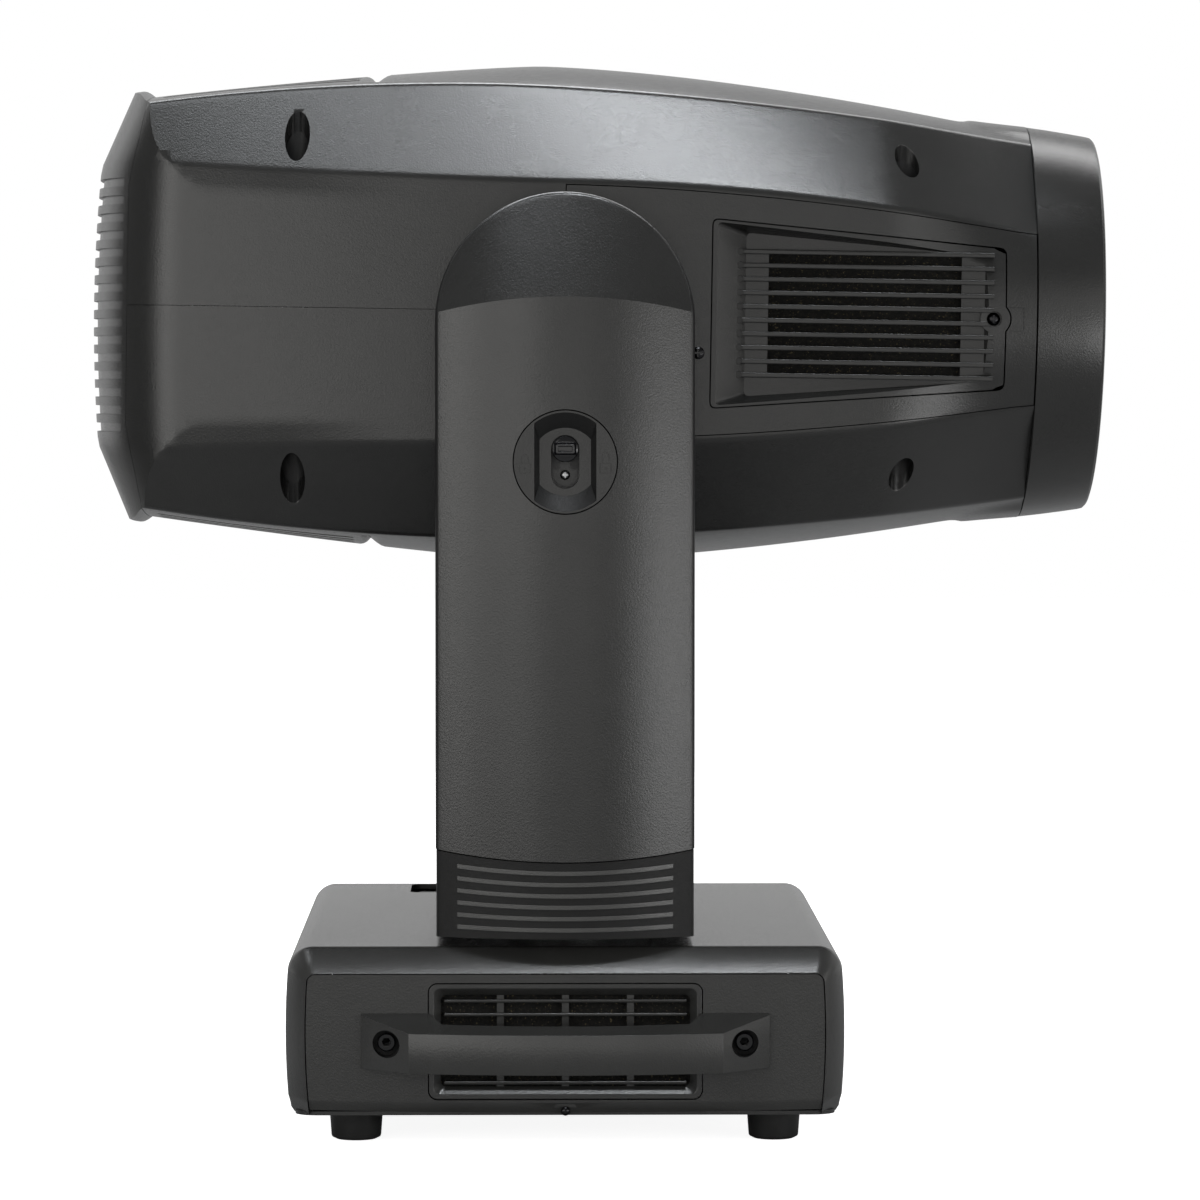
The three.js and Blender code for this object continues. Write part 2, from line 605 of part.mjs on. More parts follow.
function headRing(x, inset, proud = 0) {
  const top = crown(x) + proud - inset;
  const [topY, topV] = facetTop(x);
  const [footY, footV] = facetFoot(x);
  const t = smooth((x - ROUNDING_X) / (HEAD_FRONT - ROUNDING_X));
  const wall = mix(sideHalf(x), BEZEL_R, t) - inset;
  const edge = [topY - inset * 0.5, topV + proud - inset];
  const foot2 = [footY - inset, footV - inset * 0.4];
  const quarter = [];
  for (const s of [0, 0.35, 0.7]) quarter.push([edge[0] * s, top - (top - edge[1]) * s * s]);
  quarter.push(edge, [(edge[0] + foot2[0]) / 2, (edge[1] + foot2[1]) / 2], foot2, [wall, foot2[1] / 2]);
  const round = Math.max(collar(x), 0) - inset;
  const pushed = quarter.map(([y, v]) => {
    const grow = Math.max(1, round / Math.hypot(y, v));
    return [y * grow, v * grow];
  });
  const right = [...pushed, [Math.max(wall, round), 0], ...pushed.slice(1).reverse().map(([y, v]) => [y, -v])];
  const left = right.slice().reverse().map(([y, v]) => [-y, v]);
  return [...right, [0, -pushed[0][1]], ...left.slice(0, -1)].map(([y, v]) => [x, y, v]);
}

const STATIONS = [-300, -205, -155, -110, -60, 0, 60, 120, 165, 205, 230, 245, 261];

// Everything ahead of the rear's skin.
function rearLimit(inset) {
  const rings = [];
  for (const v of [-150, -118, -82, 0, 82, 118, 150]) {
    const high = Math.abs(v);
    const lean = high < 82 ? 3.6 * (high / 82) ** 2 : 3.6 + (high - 82) * 0.41;
    const depth = HEAD_REAR - REAR_START - lean - inset;
    const half = REAR_HALF_Y - inset;
    const ring = [[FAR, -FAR, v], [FAR, FAR, v], [-REAR_START + 1, FAR, v]];
    for (let i = 0; i <= 12; i += 1) {
      const turn = Math.PI * (0.5 - i / 12);
      const s = Math.sin(turn);
      ring.push([-REAR_START - depth * Math.abs(Math.cos(turn)) ** (2 / REAR_POWER),
        half * Math.sign(s) * Math.abs(s) ** (2 / REAR_POWER), v]);
    }
    ring.push([-REAR_START + 1, -FAR, v]);
    rings.push(ring);
  }
  return rings;
}

// The rings aren't convex, so the body is joined from slabs whose caps are triangulated.
function rearSolid(inset) {
  const rings = rearLimit(inset);
  const slabs = [];
  for (let i = 0; i + 1 < rings.length; i += 1) slabs.push(slab(rings[i], rings[i + 1]));
  return union(slabs);
}

// A body between two rings whose caps need triangulating.
function slab(low, high) {
  const count = low.length;
  const caps = THREE.ShapeUtils.triangulateShape(low.map(([x, y]) => new THREE.Vector2(x, y)), []);
  const indices = [];
  for (const [a, b, c] of caps) indices.push(a, c, b, a + count, b + count, c + count);
  const clockwise = THREE.ShapeUtils.isClockWise(low.map(([x, y]) => new THREE.Vector2(x, y)));
  for (let i = 0; i < count; i += 1) {
    const j = (i + 1) % count;
    const [a, b] = clockwise ? [j, i] : [i, j];
    indices.push(a, b, b + count, a, b + count, a + count);
  }
  return manifoldOf([...low, ...high].flat(), indices);
}

function headBody(inset, proud = 0) {
  const rings = [...STATIONS, HEAD_FRONT + (inset > 0 ? 1 : 0)].map((x) => headRing(x, inset, proud));
  return loft(rings).intersect(rearSolid(inset));
}

// Covers the side panels' place, as an outline in the x-v plane.
function seamOutline(grow) {
  const top = [];
  for (const x of [0, 60, 120, 180, 230, HEAD_FRONT]) {
    top.push([Math.max(x - grow, -grow), 73.6 - 24.1 * (x / HEAD_FRONT) ** 1.75 + grow]);
  }
  top[top.length - 1][0] = HEAD_FRONT + 5;
  return [...top.map(([x, v]) => [x, -v]), ...top.slice().reverse()];
}

function capOutline(shift) {
  const edge = [[-244, 160], [-246, 118], [SEAM_X, 70], [SEAM_X, -70], [-246, -118], [-244, -160]];
  return [[-400, 160], [-400, -160], ...edge.reverse().map(([x, v]) => [x + shift, v])];
}

function sideGrilleOutline(grow) {
  return [[86 - grow, -54.5 - grow], [258 + grow, -40.8 - grow], [258 + grow, 40.8 + grow], [86 - grow, 55 + grow]];
}

function shellPieces() {
  const shell = headBody(0).subtract(headBody(WALL + 0.5)).subtract(disc('y', 0, 0, 20, -FAR, FAR, 24));
  const panelPlace = plate(seamOutline(GAP / 2), 'y', -FAR, FAR);
  const capPlace = plate(capOutline(GAP / 2), 'y', -FAR, FAR);
  const ventPlace = block(-260, VENT_FRONT, -VENT_HALF_Y, VENT_HALF_Y, 95, 200);
  const upper = block(-FAR, FAR, -FAR, FAR, GAP / 2, FAR);
  const top = shell.subtract(panelPlace).subtract(capPlace).intersect(upper).subtract(ventPlace);
  const ventRoom = block(-260, VENT_FRONT - GAP, -VENT_HALF_Y + GAP, VENT_HALF_Y - GAP, 95, 200);
  let vent = shell.intersect(ventRoom).subtract(capPlace);
  for (const y of [-70, -42, -14, 14, 42, 70]) {
    vent = vent.subtract(block(-236, -124, y - 5, y + 5, 90, 200));
  }
  const window = plate(sideGrilleOutline(GAP), 'y', -FAR, FAR);
  const panel = shell.intersect(plate(seamOutline(-GAP / 2), 'y', -FAR, -60)).subtract(window)
    .subtract(block(HEAD_FRONT - GAP, FAR, -FAR, FAR, -FAR, FAR));
  return { top, vent, panel };
}

// A tray whose walls slope down to a flat floor, with a window behind ten slats.
function sideGrille() {
  const rim = [[89, -51.5], [250, -38.4], [250, 38.4], [89, 52]];
  const foot = [[105, -41], [246, -36], [246, 37], [105, 43]];
  const level = (outline, y) => outline.map(([x, v]) => [x, y, v]);
  const tray = loft([level(rim, -137), level(foot, -GRILLE_FLOOR_Y), level(foot, 1 - GRILLE_FLOOR_Y)]);
  const window = block(119, 232, -FAR, 0, -34.5, 36);
  const body = headBody(0.6).intersect(plate(sideGrilleOutline(0), 'y', -FAR, 4 - GRILLE_FLOOR_Y));
  const slats = [];
  for (let i = 0; i < 10; i += 1) {
    const v = 1 + SLAT_PITCH * (4.5 - i);
    slats.push(block(100, 247, -GRILLE_FLOOR_Y - 3, 1.5 - GRILLE_FLOOR_Y, v - 1.6, v + 1.6));
  }
  return union([body.subtract(tray).subtract(window), ...slats]);
}

function rearCap() {
  const skin = headBody(0, CAP_PROUD).subtract(headBody(WALL, 0));
  return skin.intersect(plate(capOutline(-GAP / 2), 'y', -FAR, FAR));
}

// A ring turned about the beam's axis, from a profile of [radius, x] points.
function alongBeam(profile, sides) {
  const geometry = new THREE.LatheGeometry(profile.map(([r, x]) => new THREE.Vector2(r, x)), sides);
  geometry.rotateZ(-Math.PI / 2);
  return solidOf(geometry);
}

function frontBezel() {
  const joint = HEAD_FRONT + GAP;
  return alongBeam([[LENS_R + 1, 285], [LENS_R + 3, NOSE - 3], [LENS_R + 6, NOSE], [BEZEL_NOSE_R - 2.5, NOSE],
    [BEZEL_NOSE_R, NOSE - 3], [BEZEL_R, joint], [BEZEL_R - WALL, joint], [BEZEL_R - WALL, 281],
    [LENS_R - 4, 281], [LENS_R - 4, 284], [LENS_R + 1, 285]], 36);
}

function frontLens() {
  const rim = 286;
  return alongBeam([[0, rim], [LENS_R, rim], [LENS_R, rim + 5], [LENS_R * 0.75, rim + 13],
    [LENS_R * 0.4, rim + 19], [0, rim + 21]], 28);
}

function headChassis() {
  const cheek = plate(roundedRectangle(-150, 205, -55, 55, 8, 1), 'y', -103, -100);
  const hub = disc('y', 0, 0, TRUNNION_R, -157, -101, 20);
  const bulkhead = (x) => plate(roundedRectangle(-102, 102, -55, 55, 8, 1), 'x', x, x + 3, [circle(0, 0, 48, 16)]);
  const pulley = disc('y', 0, 0, TILT_PULLEY_R, TILT_PULLEY_Y, TILT_PULLEY_Y + PULLEY_WIDTH, 28);
  return union([cheek, mirrorY(cheek), hub, mirrorY(hub), bulkhead(-110), bulkhead(160), pulley,
    disc('y', 0, 0, TRUNNION_R - 2, 150, TILT_PULLEY_Y + 1, 20)]);
}

function lightEngine() {
  let body = block(-228, -116, -78, 78, -58, 58);
  for (const y of [-58, -29, 0, 29, 58]) body = body.subtract(block(-240, -165, y - 8, y + 8, -70, 70));
  return body.subtract(disc('x', 0, 0, 26, -135, -100, 20));
}

const FAN_X = -240;

function coolingFan() {
  const blade = block(-1, 1, -7, 7, 12, 46).rotate([0, 0, 35]);
  const blades = [0, 1, 2, 3, 4].map((i) => blade.rotate([72 * i, 0, 0]));
  return union([disc('x', 0, 0, 17, -6, 6, 20), ...blades]).translate([FAN_X, 0, 0]);
}

const COLOR_WHEEL = { x: -80, y: 34 };
const GOBO_WHEEL = { x: -50, y: -34 };

function filterWheel({ x, y }, holeR) {
  const holes = Array.from({ length: 6 }, (_, i) => {
    const turn = (Math.PI * (i + (y > 0 ? 3 : 0))) / 3;
    return circle(y + 34 * Math.cos(turn), 34 * Math.sin(turn), holeR, 8);
  });
  return plate(circle(y, 0, 50, 24), 'x', x, x + 2, [circle(y, 0, 4, 8), ...holes]);
}

function carriage(x, radius) {
  const ring = disc('x', 0, 0, radius, x, x + 12, 28);
  const ears = plate(roundedRectangle(-90, 90, -8, 8, 3, 1), 'x', x + 3, x + 9);
  return ring.add(ears);
}

function addHead() {
  const { top, vent, panel } = shellPieces();
  const piece = (name, solid, finish) => addPiece(name, solid, finish, head);
  piece('head_top_cover', top, COVER);
  piece('head_bottom_cover', top.mirror([0, 0, 1]), COVER);
  piece('top_vent', vent, COVER);
  piece('bottom_vent', vent.mirror([0, 0, 1]), COVER);
  const grille = sideGrille();
  piece('head_side_panel_right', panel, COVER);
  piece('head_side_panel_left', mirrorY(panel), COVER);
  piece('side_grille_right', grille, COVER);
  piece('side_grille_left', mirrorY(grille), COVER);
  piece('rear_cap', rearCap(), COVER);
  piece('front_bezel', frontBezel(), COVER);
  piece('front_lens', frontLens(), GLASS);
  piece('head_chassis', headChassis(), SHEET);
  piece('light_engine', lightEngine(), ALLOY);
  piece('cooling_fan', coolingFan(), SKIRT);
  piece('color_wheel', filterWheel(COLOR_WHEEL, 11), STEEL);
  piece('gobo_wheel', filterWheel(GOBO_WHEEL, 10), STEEL);
  piece('zoom_carriage', carriage(20, 42), ALLOY);
  piece('focus_carriage', carriage(100, 40), ALLOY);
}

addBase();
addPanels();
addPanDrive();
addYoke();
addHead();

export default fixture;
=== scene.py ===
"""Moving head light: the looks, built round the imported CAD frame.

Helpers draw in millimetres in the part's own frame and turn the result into metres. The head's pieces are
drawn about the tilt axis, with x along the beam, and are then turned to the angle at which the head rests.
"""
import json
import math

import bmesh
import bpy
import numpy as np
from mathutils import Matrix, Vector


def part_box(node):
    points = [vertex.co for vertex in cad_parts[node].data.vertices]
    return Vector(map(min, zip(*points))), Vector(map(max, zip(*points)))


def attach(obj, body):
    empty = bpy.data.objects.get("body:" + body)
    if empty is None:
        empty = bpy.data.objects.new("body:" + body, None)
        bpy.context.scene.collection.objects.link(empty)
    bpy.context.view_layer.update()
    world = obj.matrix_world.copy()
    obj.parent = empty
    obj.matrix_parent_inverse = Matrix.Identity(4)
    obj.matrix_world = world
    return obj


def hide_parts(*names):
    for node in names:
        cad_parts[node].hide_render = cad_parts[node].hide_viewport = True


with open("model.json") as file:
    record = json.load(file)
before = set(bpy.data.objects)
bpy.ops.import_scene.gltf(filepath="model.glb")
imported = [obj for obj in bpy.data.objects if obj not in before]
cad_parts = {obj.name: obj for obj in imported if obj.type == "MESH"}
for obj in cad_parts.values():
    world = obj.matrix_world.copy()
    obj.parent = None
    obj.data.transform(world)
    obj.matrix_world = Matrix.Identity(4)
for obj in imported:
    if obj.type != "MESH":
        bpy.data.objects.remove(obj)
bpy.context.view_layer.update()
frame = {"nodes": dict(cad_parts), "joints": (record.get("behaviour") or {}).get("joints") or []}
MM = 0.001
FAR = 600
WALL = 3
QUARTER = math.pi / 2
JOINTS = {j["name"]: j for j in frame["joints"]}
SIDES = (("right", -1), ("left", 1))


# ---------------------------------------------------------------- places taken from the frame
def box_mm(node):
    low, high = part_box(node)
    return low / MM, high / MM


def centre_mm(node):
    low, high = box_mm(node)
    return (low + high) / 2


def face_outline(node, radius, grow=0.0):
    """The rounded (y, z) outline of a flat part that faces along x."""
    low, high = box_mm(node)
    return rounded(low.y - grow, high.y + grow, low.z - grow, high.z + grow, radius)


TILT_AXIS_Z = JOINTS["tilt"]["pos_m"][2] / MM
BEAM = Vector(JOINTS["zoom"]["axis"])
DROOP = math.atan2(-BEAM.z, BEAM.x)
TO_ROW = Matrix.Translation((0, 0, TILT_AXIS_Z)) @ Matrix.Rotation(DROOP, 4, "Y")
TO_HEAD = TO_ROW.inverted()


def head_box(node):
    """Lowest and highest corner of a head node, in the head's own frame."""
    points = np.array([TO_HEAD @ (v.co / MM) for v in frame["nodes"][node].data.vertices])
    return points.min(0), points.max(0)


# ---------------------------------------------------------------- mesh helpers
def keep(name, mesh):
    obj = bpy.data.objects.new(name, mesh)
    bpy.context.scene.collection.objects.link(obj)
    return obj


def solid(name, verts, faces, merge=False):
    mesh = bpy.data.meshes.new(name)
    mesh.from_pydata((np.asarray(verts, float) * MM).tolist(), [], faces)
    bm = bmesh.new()
    bm.from_mesh(mesh)
    if merge:
        bmesh.ops.remove_doubles(bm, verts=bm.verts, dist=1e-6)
        bmesh.ops.dissolve_degenerate(bm, edges=bm.edges, dist=1e-7)
    bmesh.ops.recalc_face_normals(bm, faces=bm.faces)
    bm.to_mesh(mesh)
    bm.free()
    return keep(name, mesh)


def loft(name, rings):
    """A closed body through rings of equal length."""
    rings = np.asarray(rings, float)
    levels, count, _ = rings.shape
    faces = []
    for r in range(levels - 1):
        for i in range(count):
            a, b = r * count + i, r * count + (i + 1) % count
            faces.append((a, b, b + count, a + count))
    last = (levels - 1) * count
    faces.append(tuple(range(count - 1, -1, -1)))
    faces.append(tuple(range(last, last + count)))
    return solid(name, rings.reshape(-1, 3), faces)


def on_plane(outline, axis, level):
    """An outline of (y, z), (x, z) or (x, y) points as a ring across x, y or z."""
    flat = np.asarray(outline, float)
    index = "xyz".index(axis)
    return np.insert(flat, index, level, axis=1)


def prism(name, outline, axis, low, high):
    return loft(name, [on_plane(outline, axis, low), on_plane(outline, axis, high)])


def block(name, x0, x1, y0, y1, z0, z1):
    return prism(name, [(x0, y0), (x1, y0), (x1, y1), (x0, y1)], "z", z0, z1)


def arc(u, v, radius, start, end, steps):
    """Points along an arc, with both of its ends."""
    return [(u + radius * math.cos(t), v + radius * math.sin(t)) for t in np.linspace(start, end, steps + 1)]


def circle(u, v, radius, sides=48):
    turns = np.linspace(0, 2 * math.pi, sides, endpoint=False)
    return np.stack([u + radius * np.cos(turns), v + radius * np.sin(turns)], 1)


def disc(name, axis, u, v, radius, low, high, sides=48):
    return prism(name, circle(u, v, radius, sides), axis, low, high)


def rounded(u0, u1, v0, v1, radius, steps=6):
    points = []
    corners = ((u1 - radius, v1 - radius), (u0 + radius, v1 - radius),
               (u0 + radius, v0 + radius), (u1 - radius, v0 + radius))
    for quarter, (u, v) in enumerate(corners):
        points += arc(u, v, radius, quarter * QUARTER, (quarter + 1) * QUARTER, steps)
    return points


def lathe(name, profile, segments=96, closed=False):
    """A turned body about z from (radius, height) points that start and end on the axis, or close."""
    turns = np.linspace(0, 2 * math.pi, segments, endpoint=False)
    rings = [np.stack([r * np.cos(turns), r * np.sin(turns), np.full(segments, h)], 1) for r, h in profile]
    verts = np.concatenate(rings)
    faces = []
    for r in range(len(profile) if closed else len(profile) - 1):
        s = (r + 1) % len(profile)
        for i in range(segments):
            j = (i + 1) % segments
            faces.append((r * segments + i, r * segments + j, s * segments + j, s * segments + i))
    return solid(name, verts, faces, merge=True)


def move(obj, x, y, z=0.0):
    obj.data.transform(Matrix.Translation(Vector((x, y, z)) * MM))


def aim(obj, point, normal):
    """Stands a body drawn about z on a point, in millimetres, along a normal."""
    obj.data.transform(Vector(normal).to_track_quat("Z", "Y").to_matrix().to_4x4())
    move(obj, *point)


def along_beam(obj):
    """Turns a body drawn about z so that its axis lies along the head's x."""
    obj.data.transform(Matrix.Rotation(QUARTER, 4, "Y"))
    return obj


def discard(*spent):
    for obj in spent:
        bpy.data.objects.remove(obj)


def bake(obj):
    depsgraph = bpy.context.evaluated_depsgraph_get()
    mesh = bpy.data.meshes.new_from_object(obj.evaluated_get(depsgraph))
    obj.modifiers.clear()
    old, obj.data = obj.data, mesh
    bpy.data.meshes.remove(old)
    return obj


def carve(piece, cutters, operation="DIFFERENCE", spare=False):
    """Cuts, joins or intersects a piece with other bodies, which are then thrown away."""
    for cutter in cutters:
        modifier = piece.modifiers.new("carve", "BOOLEAN")
        modifier.operation = operation
        modifier.solver = "MANIFOLD"
        modifier.object = cutter
    bake(piece)
    if not spare:
        discard(*cutters)
    return piece


def join(piece, others):
    return carve(piece, others, "UNION")


def limit(piece, others, spare=False):
    return carve(piece, others, "INTERSECT", spare)


def copy_of(obj, name):
    return keep(name, obj.data.copy())


def mirrored(obj, name, axis):
    twin = copy_of(obj, name)
    scale = [-1 if letter == axis else 1 for letter in "xyz"]
    twin.data.transform(Matrix.Diagonal((*scale, 1)))
    twin.data.flip_normals()
    return twin


def for_side(obj, name, sign):
    """The piece as drawn, at -y, for the right side, or its mirror image for the left."""
    return mirrored(obj, name, "y") if sign > 0 else copy_of(obj, name)


def soften(obj, width, segments=3, angle=32):
    modifier = obj.modifiers.new("edges", "BEVEL")
    modifier.width = width * MM
    modifier.segments = segments
    modifier.limit_method = "ANGLE"
    modifier.angle_limit = math.radians(angle)
    modifier.use_clamp_overlap = True
    return bake(obj)


def dress(obj, body, finish, slot, nodes=(), smooth=34, in_head=False, flat=False):
    """Gives a finished piece its shading, material and body, and hides the CAD nodes that it stands for."""
    if in_head:
        obj.data.transform(Matrix.Scale(MM, 4) @ TO_ROW @ Matrix.Scale(1 / MM, 4))
    obj.data.shade_smooth()
    obj.data.set_sharp_from_angle(angle=math.radians(smooth))
    if flat:
        weighted = obj.modifiers.new("normals", "WEIGHTED_NORMAL")
        weighted.keep_sharp = True
        bake(obj)
    obj.data.materials.clear()
    obj.data.materials.append(finish)
    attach(obj, body)
    if nodes:
        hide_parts(*nodes)
    return obj


def second_finish(obj, finish, chosen):
    """Gives the faces that `chosen` picks another material."""
    obj.data.materials.append(finish)
    for face in obj.data.polygons:
        if chosen(face):
            face.material_index = 1


def smoothstep(t):
    t = np.clip(t, 0, 1)
    return t * t * (3 - 2 * t)


def mix(a, b, t):
    return a + (b - a) * t


# ---------------------------------------------------------------- materials
def nodes_of(name):
    """A new material, with its node tree and its main shader."""
    made = bpy.data.materials.new(name)
    made.use_nodes = True
    tree = made.node_tree
    return made, tree, tree.nodes["Principled BSDF"]


def noise(tree, scale, detail=3, rough=0.5):
    coords = tree.nodes.new("ShaderNodeTexCoord")
    node = tree.nodes.new("ShaderNodeTexNoise")
    node.inputs["Scale"].default_value = scale
    node.inputs["Detail"].default_value = detail
    node.inputs["Roughness"].default_value = rough
    tree.links.new(coords.outputs["Object"], node.inputs["Vector"])
    return node.outputs["Fac"]


def cells(tree, scale):
    """The rounded cells of a leather grain."""
    coords = tree.nodes.new("ShaderNodeTexCoord")
    node = tree.nodes.new("ShaderNodeTexVoronoi")
    node.feature = "SMOOTH_F1"
    node.inputs["Scale"].default_value = scale
    tree.links.new(coords.outputs["Object"], node.inputs["Vector"])
    return node.outputs["Distance"]


def ramp(tree, value, low, high, at=(0.3, 0.7)):
    node = tree.nodes.new("ShaderNodeValToRGB")
    node.color_ramp.elements[0].position = at[0]
    node.color_ramp.elements[1].position = at[1]
    node.color_ramp.elements[0].color = (*low, 1)
    node.color_ramp.elements[1].color = (*high, 1)
    tree.links.new(value, node.inputs["Fac"])
    return node.outputs["Color"]


def spread(tree, value, low, high):
    """Maps a noise to a plain range of numbers."""
    node = tree.nodes.new("ShaderNodeMapRange")
    node.inputs["From Min"].default_value = 0.3
    node.inputs["From Max"].default_value = 0.7
    node.inputs["To Min"].default_value = low
    node.inputs["To Max"].default_value = high
    tree.links.new(value, node.inputs["Value"])
    return node.outputs["Result"]


def add_bump(tree, bsdf, heights, distance):
    """Bump from one or more height outputs, in metres of depth."""
    total = heights[0]
    for height in heights[1:]:
        node = tree.nodes.new("ShaderNodeMath")
        node.operation = "ADD"
        tree.links.new(total, node.inputs[0])
        tree.links.new(height, node.inputs[1])
        total = node.outputs[0]
    bump = tree.nodes.new("ShaderNodeBump")
    bump.inputs["Distance"].default_value = distance
    bump.inputs["Strength"].default_value = 1
    tree.links.new(total, bump.inputs["Height"])
    tree.links.new(bump.outputs["Normal"], bsdf.inputs["Normal"])


def moulded(name, shade, tint=(1, 1, 0.965), rough=(0.22, 0.26), grain=1000, depth=0.00006, gleam=0.5):
    """Moulded plastic with a fine leather grain."""
    made, tree, bsdf = nodes_of(name)
    low = [shade * c * 0.9 for c in tint]
    high = [shade * c * 1.1 for c in tint]
    tree.links.new(ramp(tree, noise(tree, 38, 5, 0.6), low, high), bsdf.inputs["Base Color"])
    tree.links.new(spread(tree, noise(tree, 420, 3), *rough), bsdf.inputs["Roughness"])
    bsdf.inputs["Specular IOR Level"].default_value = gleam
    add_bump(tree, bsdf, [cells(tree, grain), noise(tree, grain * 2.2, 2)], depth)
    return made


def foam(name):
    """Open-cell filter foam with a few warm glints painted into its colour."""
    made, tree, bsdf = nodes_of(name)
    base = ramp(tree, noise(tree, 650, 4, 0.7), (0.001, 0.001, 0.001), (0.012, 0.011, 0.008), (0.42, 0.62))
    # painted highlight: warm glints added to the foam's base colour
    painted_glint = ramp(tree, noise(tree, 900, 2, 0.5), (0, 0, 0), (0.14, 0.115, 0.06), (0.64, 0.72))
    add = tree.nodes.new("ShaderNodeMix")
    add.data_type = "RGBA"
    add.blend_type = "ADD"
    add.inputs["Factor"].default_value = 1
    tree.links.new(base, add.inputs["A"])
    tree.links.new(painted_glint, add.inputs["B"])
    tree.links.new(add.outputs["Result"], bsdf.inputs["Base Color"])
    bsdf.inputs["Roughness"].default_value = 0.9
    add_bump(tree, bsdf, [noise(tree, 500, 4, 0.8)], 0.003)
    return made


def rubber(name):
    made, tree, bsdf = nodes_of(name)
    tree.links.new(ramp(tree, noise(tree, 90, 4), (0.006, 0.006, 0.006), (0.014, 0.014, 0.014)),
                   bsdf.inputs["Base Color"])
    bsdf.inputs["Roughness"].default_value = 0.55
    add_bump(tree, bsdf, [noise(tree, 900, 3)], 0.0001)
    return made


def gloss(name, colour=(0.006, 0.006, 0.007), rough=(0.08, 0.16)):
    made, tree, bsdf = nodes_of(name)
    bsdf.inputs["Base Color"].default_value = (*colour, 1)
    tree.links.new(spread(tree, noise(tree, 120, 4), *rough), bsdf.inputs["Roughness"])
    return made


def metal(name, colour, rough=(0.22, 0.4), scale=260):
    made, tree, bsdf = nodes_of(name)
    low = [c * 0.85 for c in colour]
    tree.links.new(ramp(tree, noise(tree, 60, 5, 0.6), low, colour), bsdf.inputs["Base Color"])
    tree.links.new(spread(tree, noise(tree, scale, 4, 0.7), *rough), bsdf.inputs["Roughness"])
    bsdf.inputs["Metallic"].default_value = 1
    add_bump(tree, bsdf, [noise(tree, scale * 3, 2)], 0.00003)
    return made


def powder_coat(name, shade):
    made, tree, bsdf = nodes_of(name)
    low = [shade * 0.85] * 3
    high = [shade * 1.15] * 3
    tree.links.new(ramp(tree, noise(tree, 70, 4), low, high), bsdf.inputs["Base Color"])
    tree.links.new(spread(tree, noise(tree, 300, 3), 0.4, 0.5), bsdf.inputs["Roughness"])
    add_bump(tree, bsdf, [noise(tree, 1100, 2, 0.5)], 0.00012)
    return made


def glass(name, colour=(0.93, 0.97, 1.0)):
    made, tree, bsdf = nodes_of(name)
    tree.links.new(spread(tree, noise(tree, 20, 2), 0.0, 0.02), bsdf.inputs["Roughness"])
    bsdf.inputs["Base Color"].default_value = (*colour, 1)
    bsdf.inputs["Transmission Weight"].default_value = 1
    bsdf.inputs["IOR"].default_value = 1.5
    return made


COVER = moulded("cover_plastic", 0.016)
BASE = moulded("base_plastic", 0.028)
HANDLE = moulded("handle_plastic", 0.03)
RIB = moulded("rib_plastic", 0.05)
# near-black skirt plastic; also used as painted shade on the arm's side walls, in the tilt lock's channel and
# inside the cover wells
SKIRT_AND_SHADE = moulded("skirt_plastic_and_painted_shade", 0.009, (1, 1, 1), (0.42, 0.52), gleam=0.22)
# black for the inner works and the lens tube; also used as painted shade in the handle's bolt wells
BLACK_AND_SHADE = moulded("inner_black_and_painted_shade", 0.006, (1, 1, 1), (0.6, 0.75))
FOAM = foam("filter_foam")
RUBBER = rubber("foot_rubber")
GLOSS = gloss("gloss_black")
SCREEN = gloss("screen_glass", (0.004, 0.006, 0.01), (0.03, 0.06))
STEEL = metal("brushed_steel", (0.55, 0.56, 0.57))
BLACK_STEEL = metal("black_oxide", (0.035, 0.035, 0.037), (0.18, 0.3))
ALLOY = metal("machined_alloy", (0.62, 0.63, 0.64), (0.2, 0.34))
SHEET = powder_coat("powder_coat", 0.014)
LENS = glass("lens_glass")


# ---------------------------------------------------------------- fasteners
def star_screw(name, point, normal, radius, body, finish, in_head=False):
    """A pan-head screw with a cross recess."""
    profile = [(0, radius * 0.55), (radius * 0.35, radius * 0.52), (radius * 0.7, radius * 0.38),
               (radius * 0.93, radius * 0.14), (radius, -radius * 0.1), (radius * 0.9, -radius), (0, -radius)]
    screw = lathe(name, profile, 32)
    arm = radius * 0.58
    slot = radius * 0.12
    depth = radius * 0.05
    top = radius
    screw = carve(screw, [block("slot_x", -arm, arm, -slot, slot, depth, top),
                          block("slot_y", -slot, slot, -arm, arm, depth, top)])
    aim(screw, point, normal)
    return dress(screw, body, finish, "gloss_black", in_head=in_head)


def socket_screw(name, point, normal, radius, body, finish):
    """A cap screw with a hexagon socket."""
    profile = [(0, radius), (radius * 0.86, radius), (radius, radius * 0.86), (radius, -radius), (0, -radius)]
    screw = lathe(name, profile, 40)
    screw = carve(screw, [prism("hex", circle(0, 0, radius * 0.56, 6), "z", 0, radius * 2)])
    aim(screw, point, normal)
    return dress(screw, body, finish, "gloss_black")


# ---------------------------------------------------------------- base
SHELL_HIGH = box_mm("base_shell")[1]
HALF_X = SHELL_HIGH.x + 0.9
HALF_Y = SHELL_HIGH.y
TOP = SHELL_HIGH.z
CORNER = 13
LIP_CORNER = 5.5
BULGE = 2.5
# the slanted frame at each end of the base, from the flat top down to its thin lip
FRAME_DEPTH = 20
FRAME_DROP = 13
FRAME_INSET = 11
FRAME_LIP = 0.7
EDGE_ROUND = 2
SHELL_FOOT = -1
NECK_R = 46.6
PAN_LOCK_SLOT = 56
PANEL_GAP = 0.3
# the side panel's air intake and handle
GRILLE_BARS = 7
GRILLE_TOP_BAR = 66
GRILLE_PITCH = 7.78
HANDLE_BOLT_X = 101.5
HANDLE_BOLT_Z = 43.8
HANDLE_WELL_R = 7.8
HANDLE_WELL_DEPTH = 3.2
HANDLE_BAR_X = 88.5
HANDLE_BAR_TOP = 51
HANDLE_GAP_X = 78
HANDLE_DEPTH = 17
HANDLE_REACH = 30
HANDLE_END_REACH = 3.2


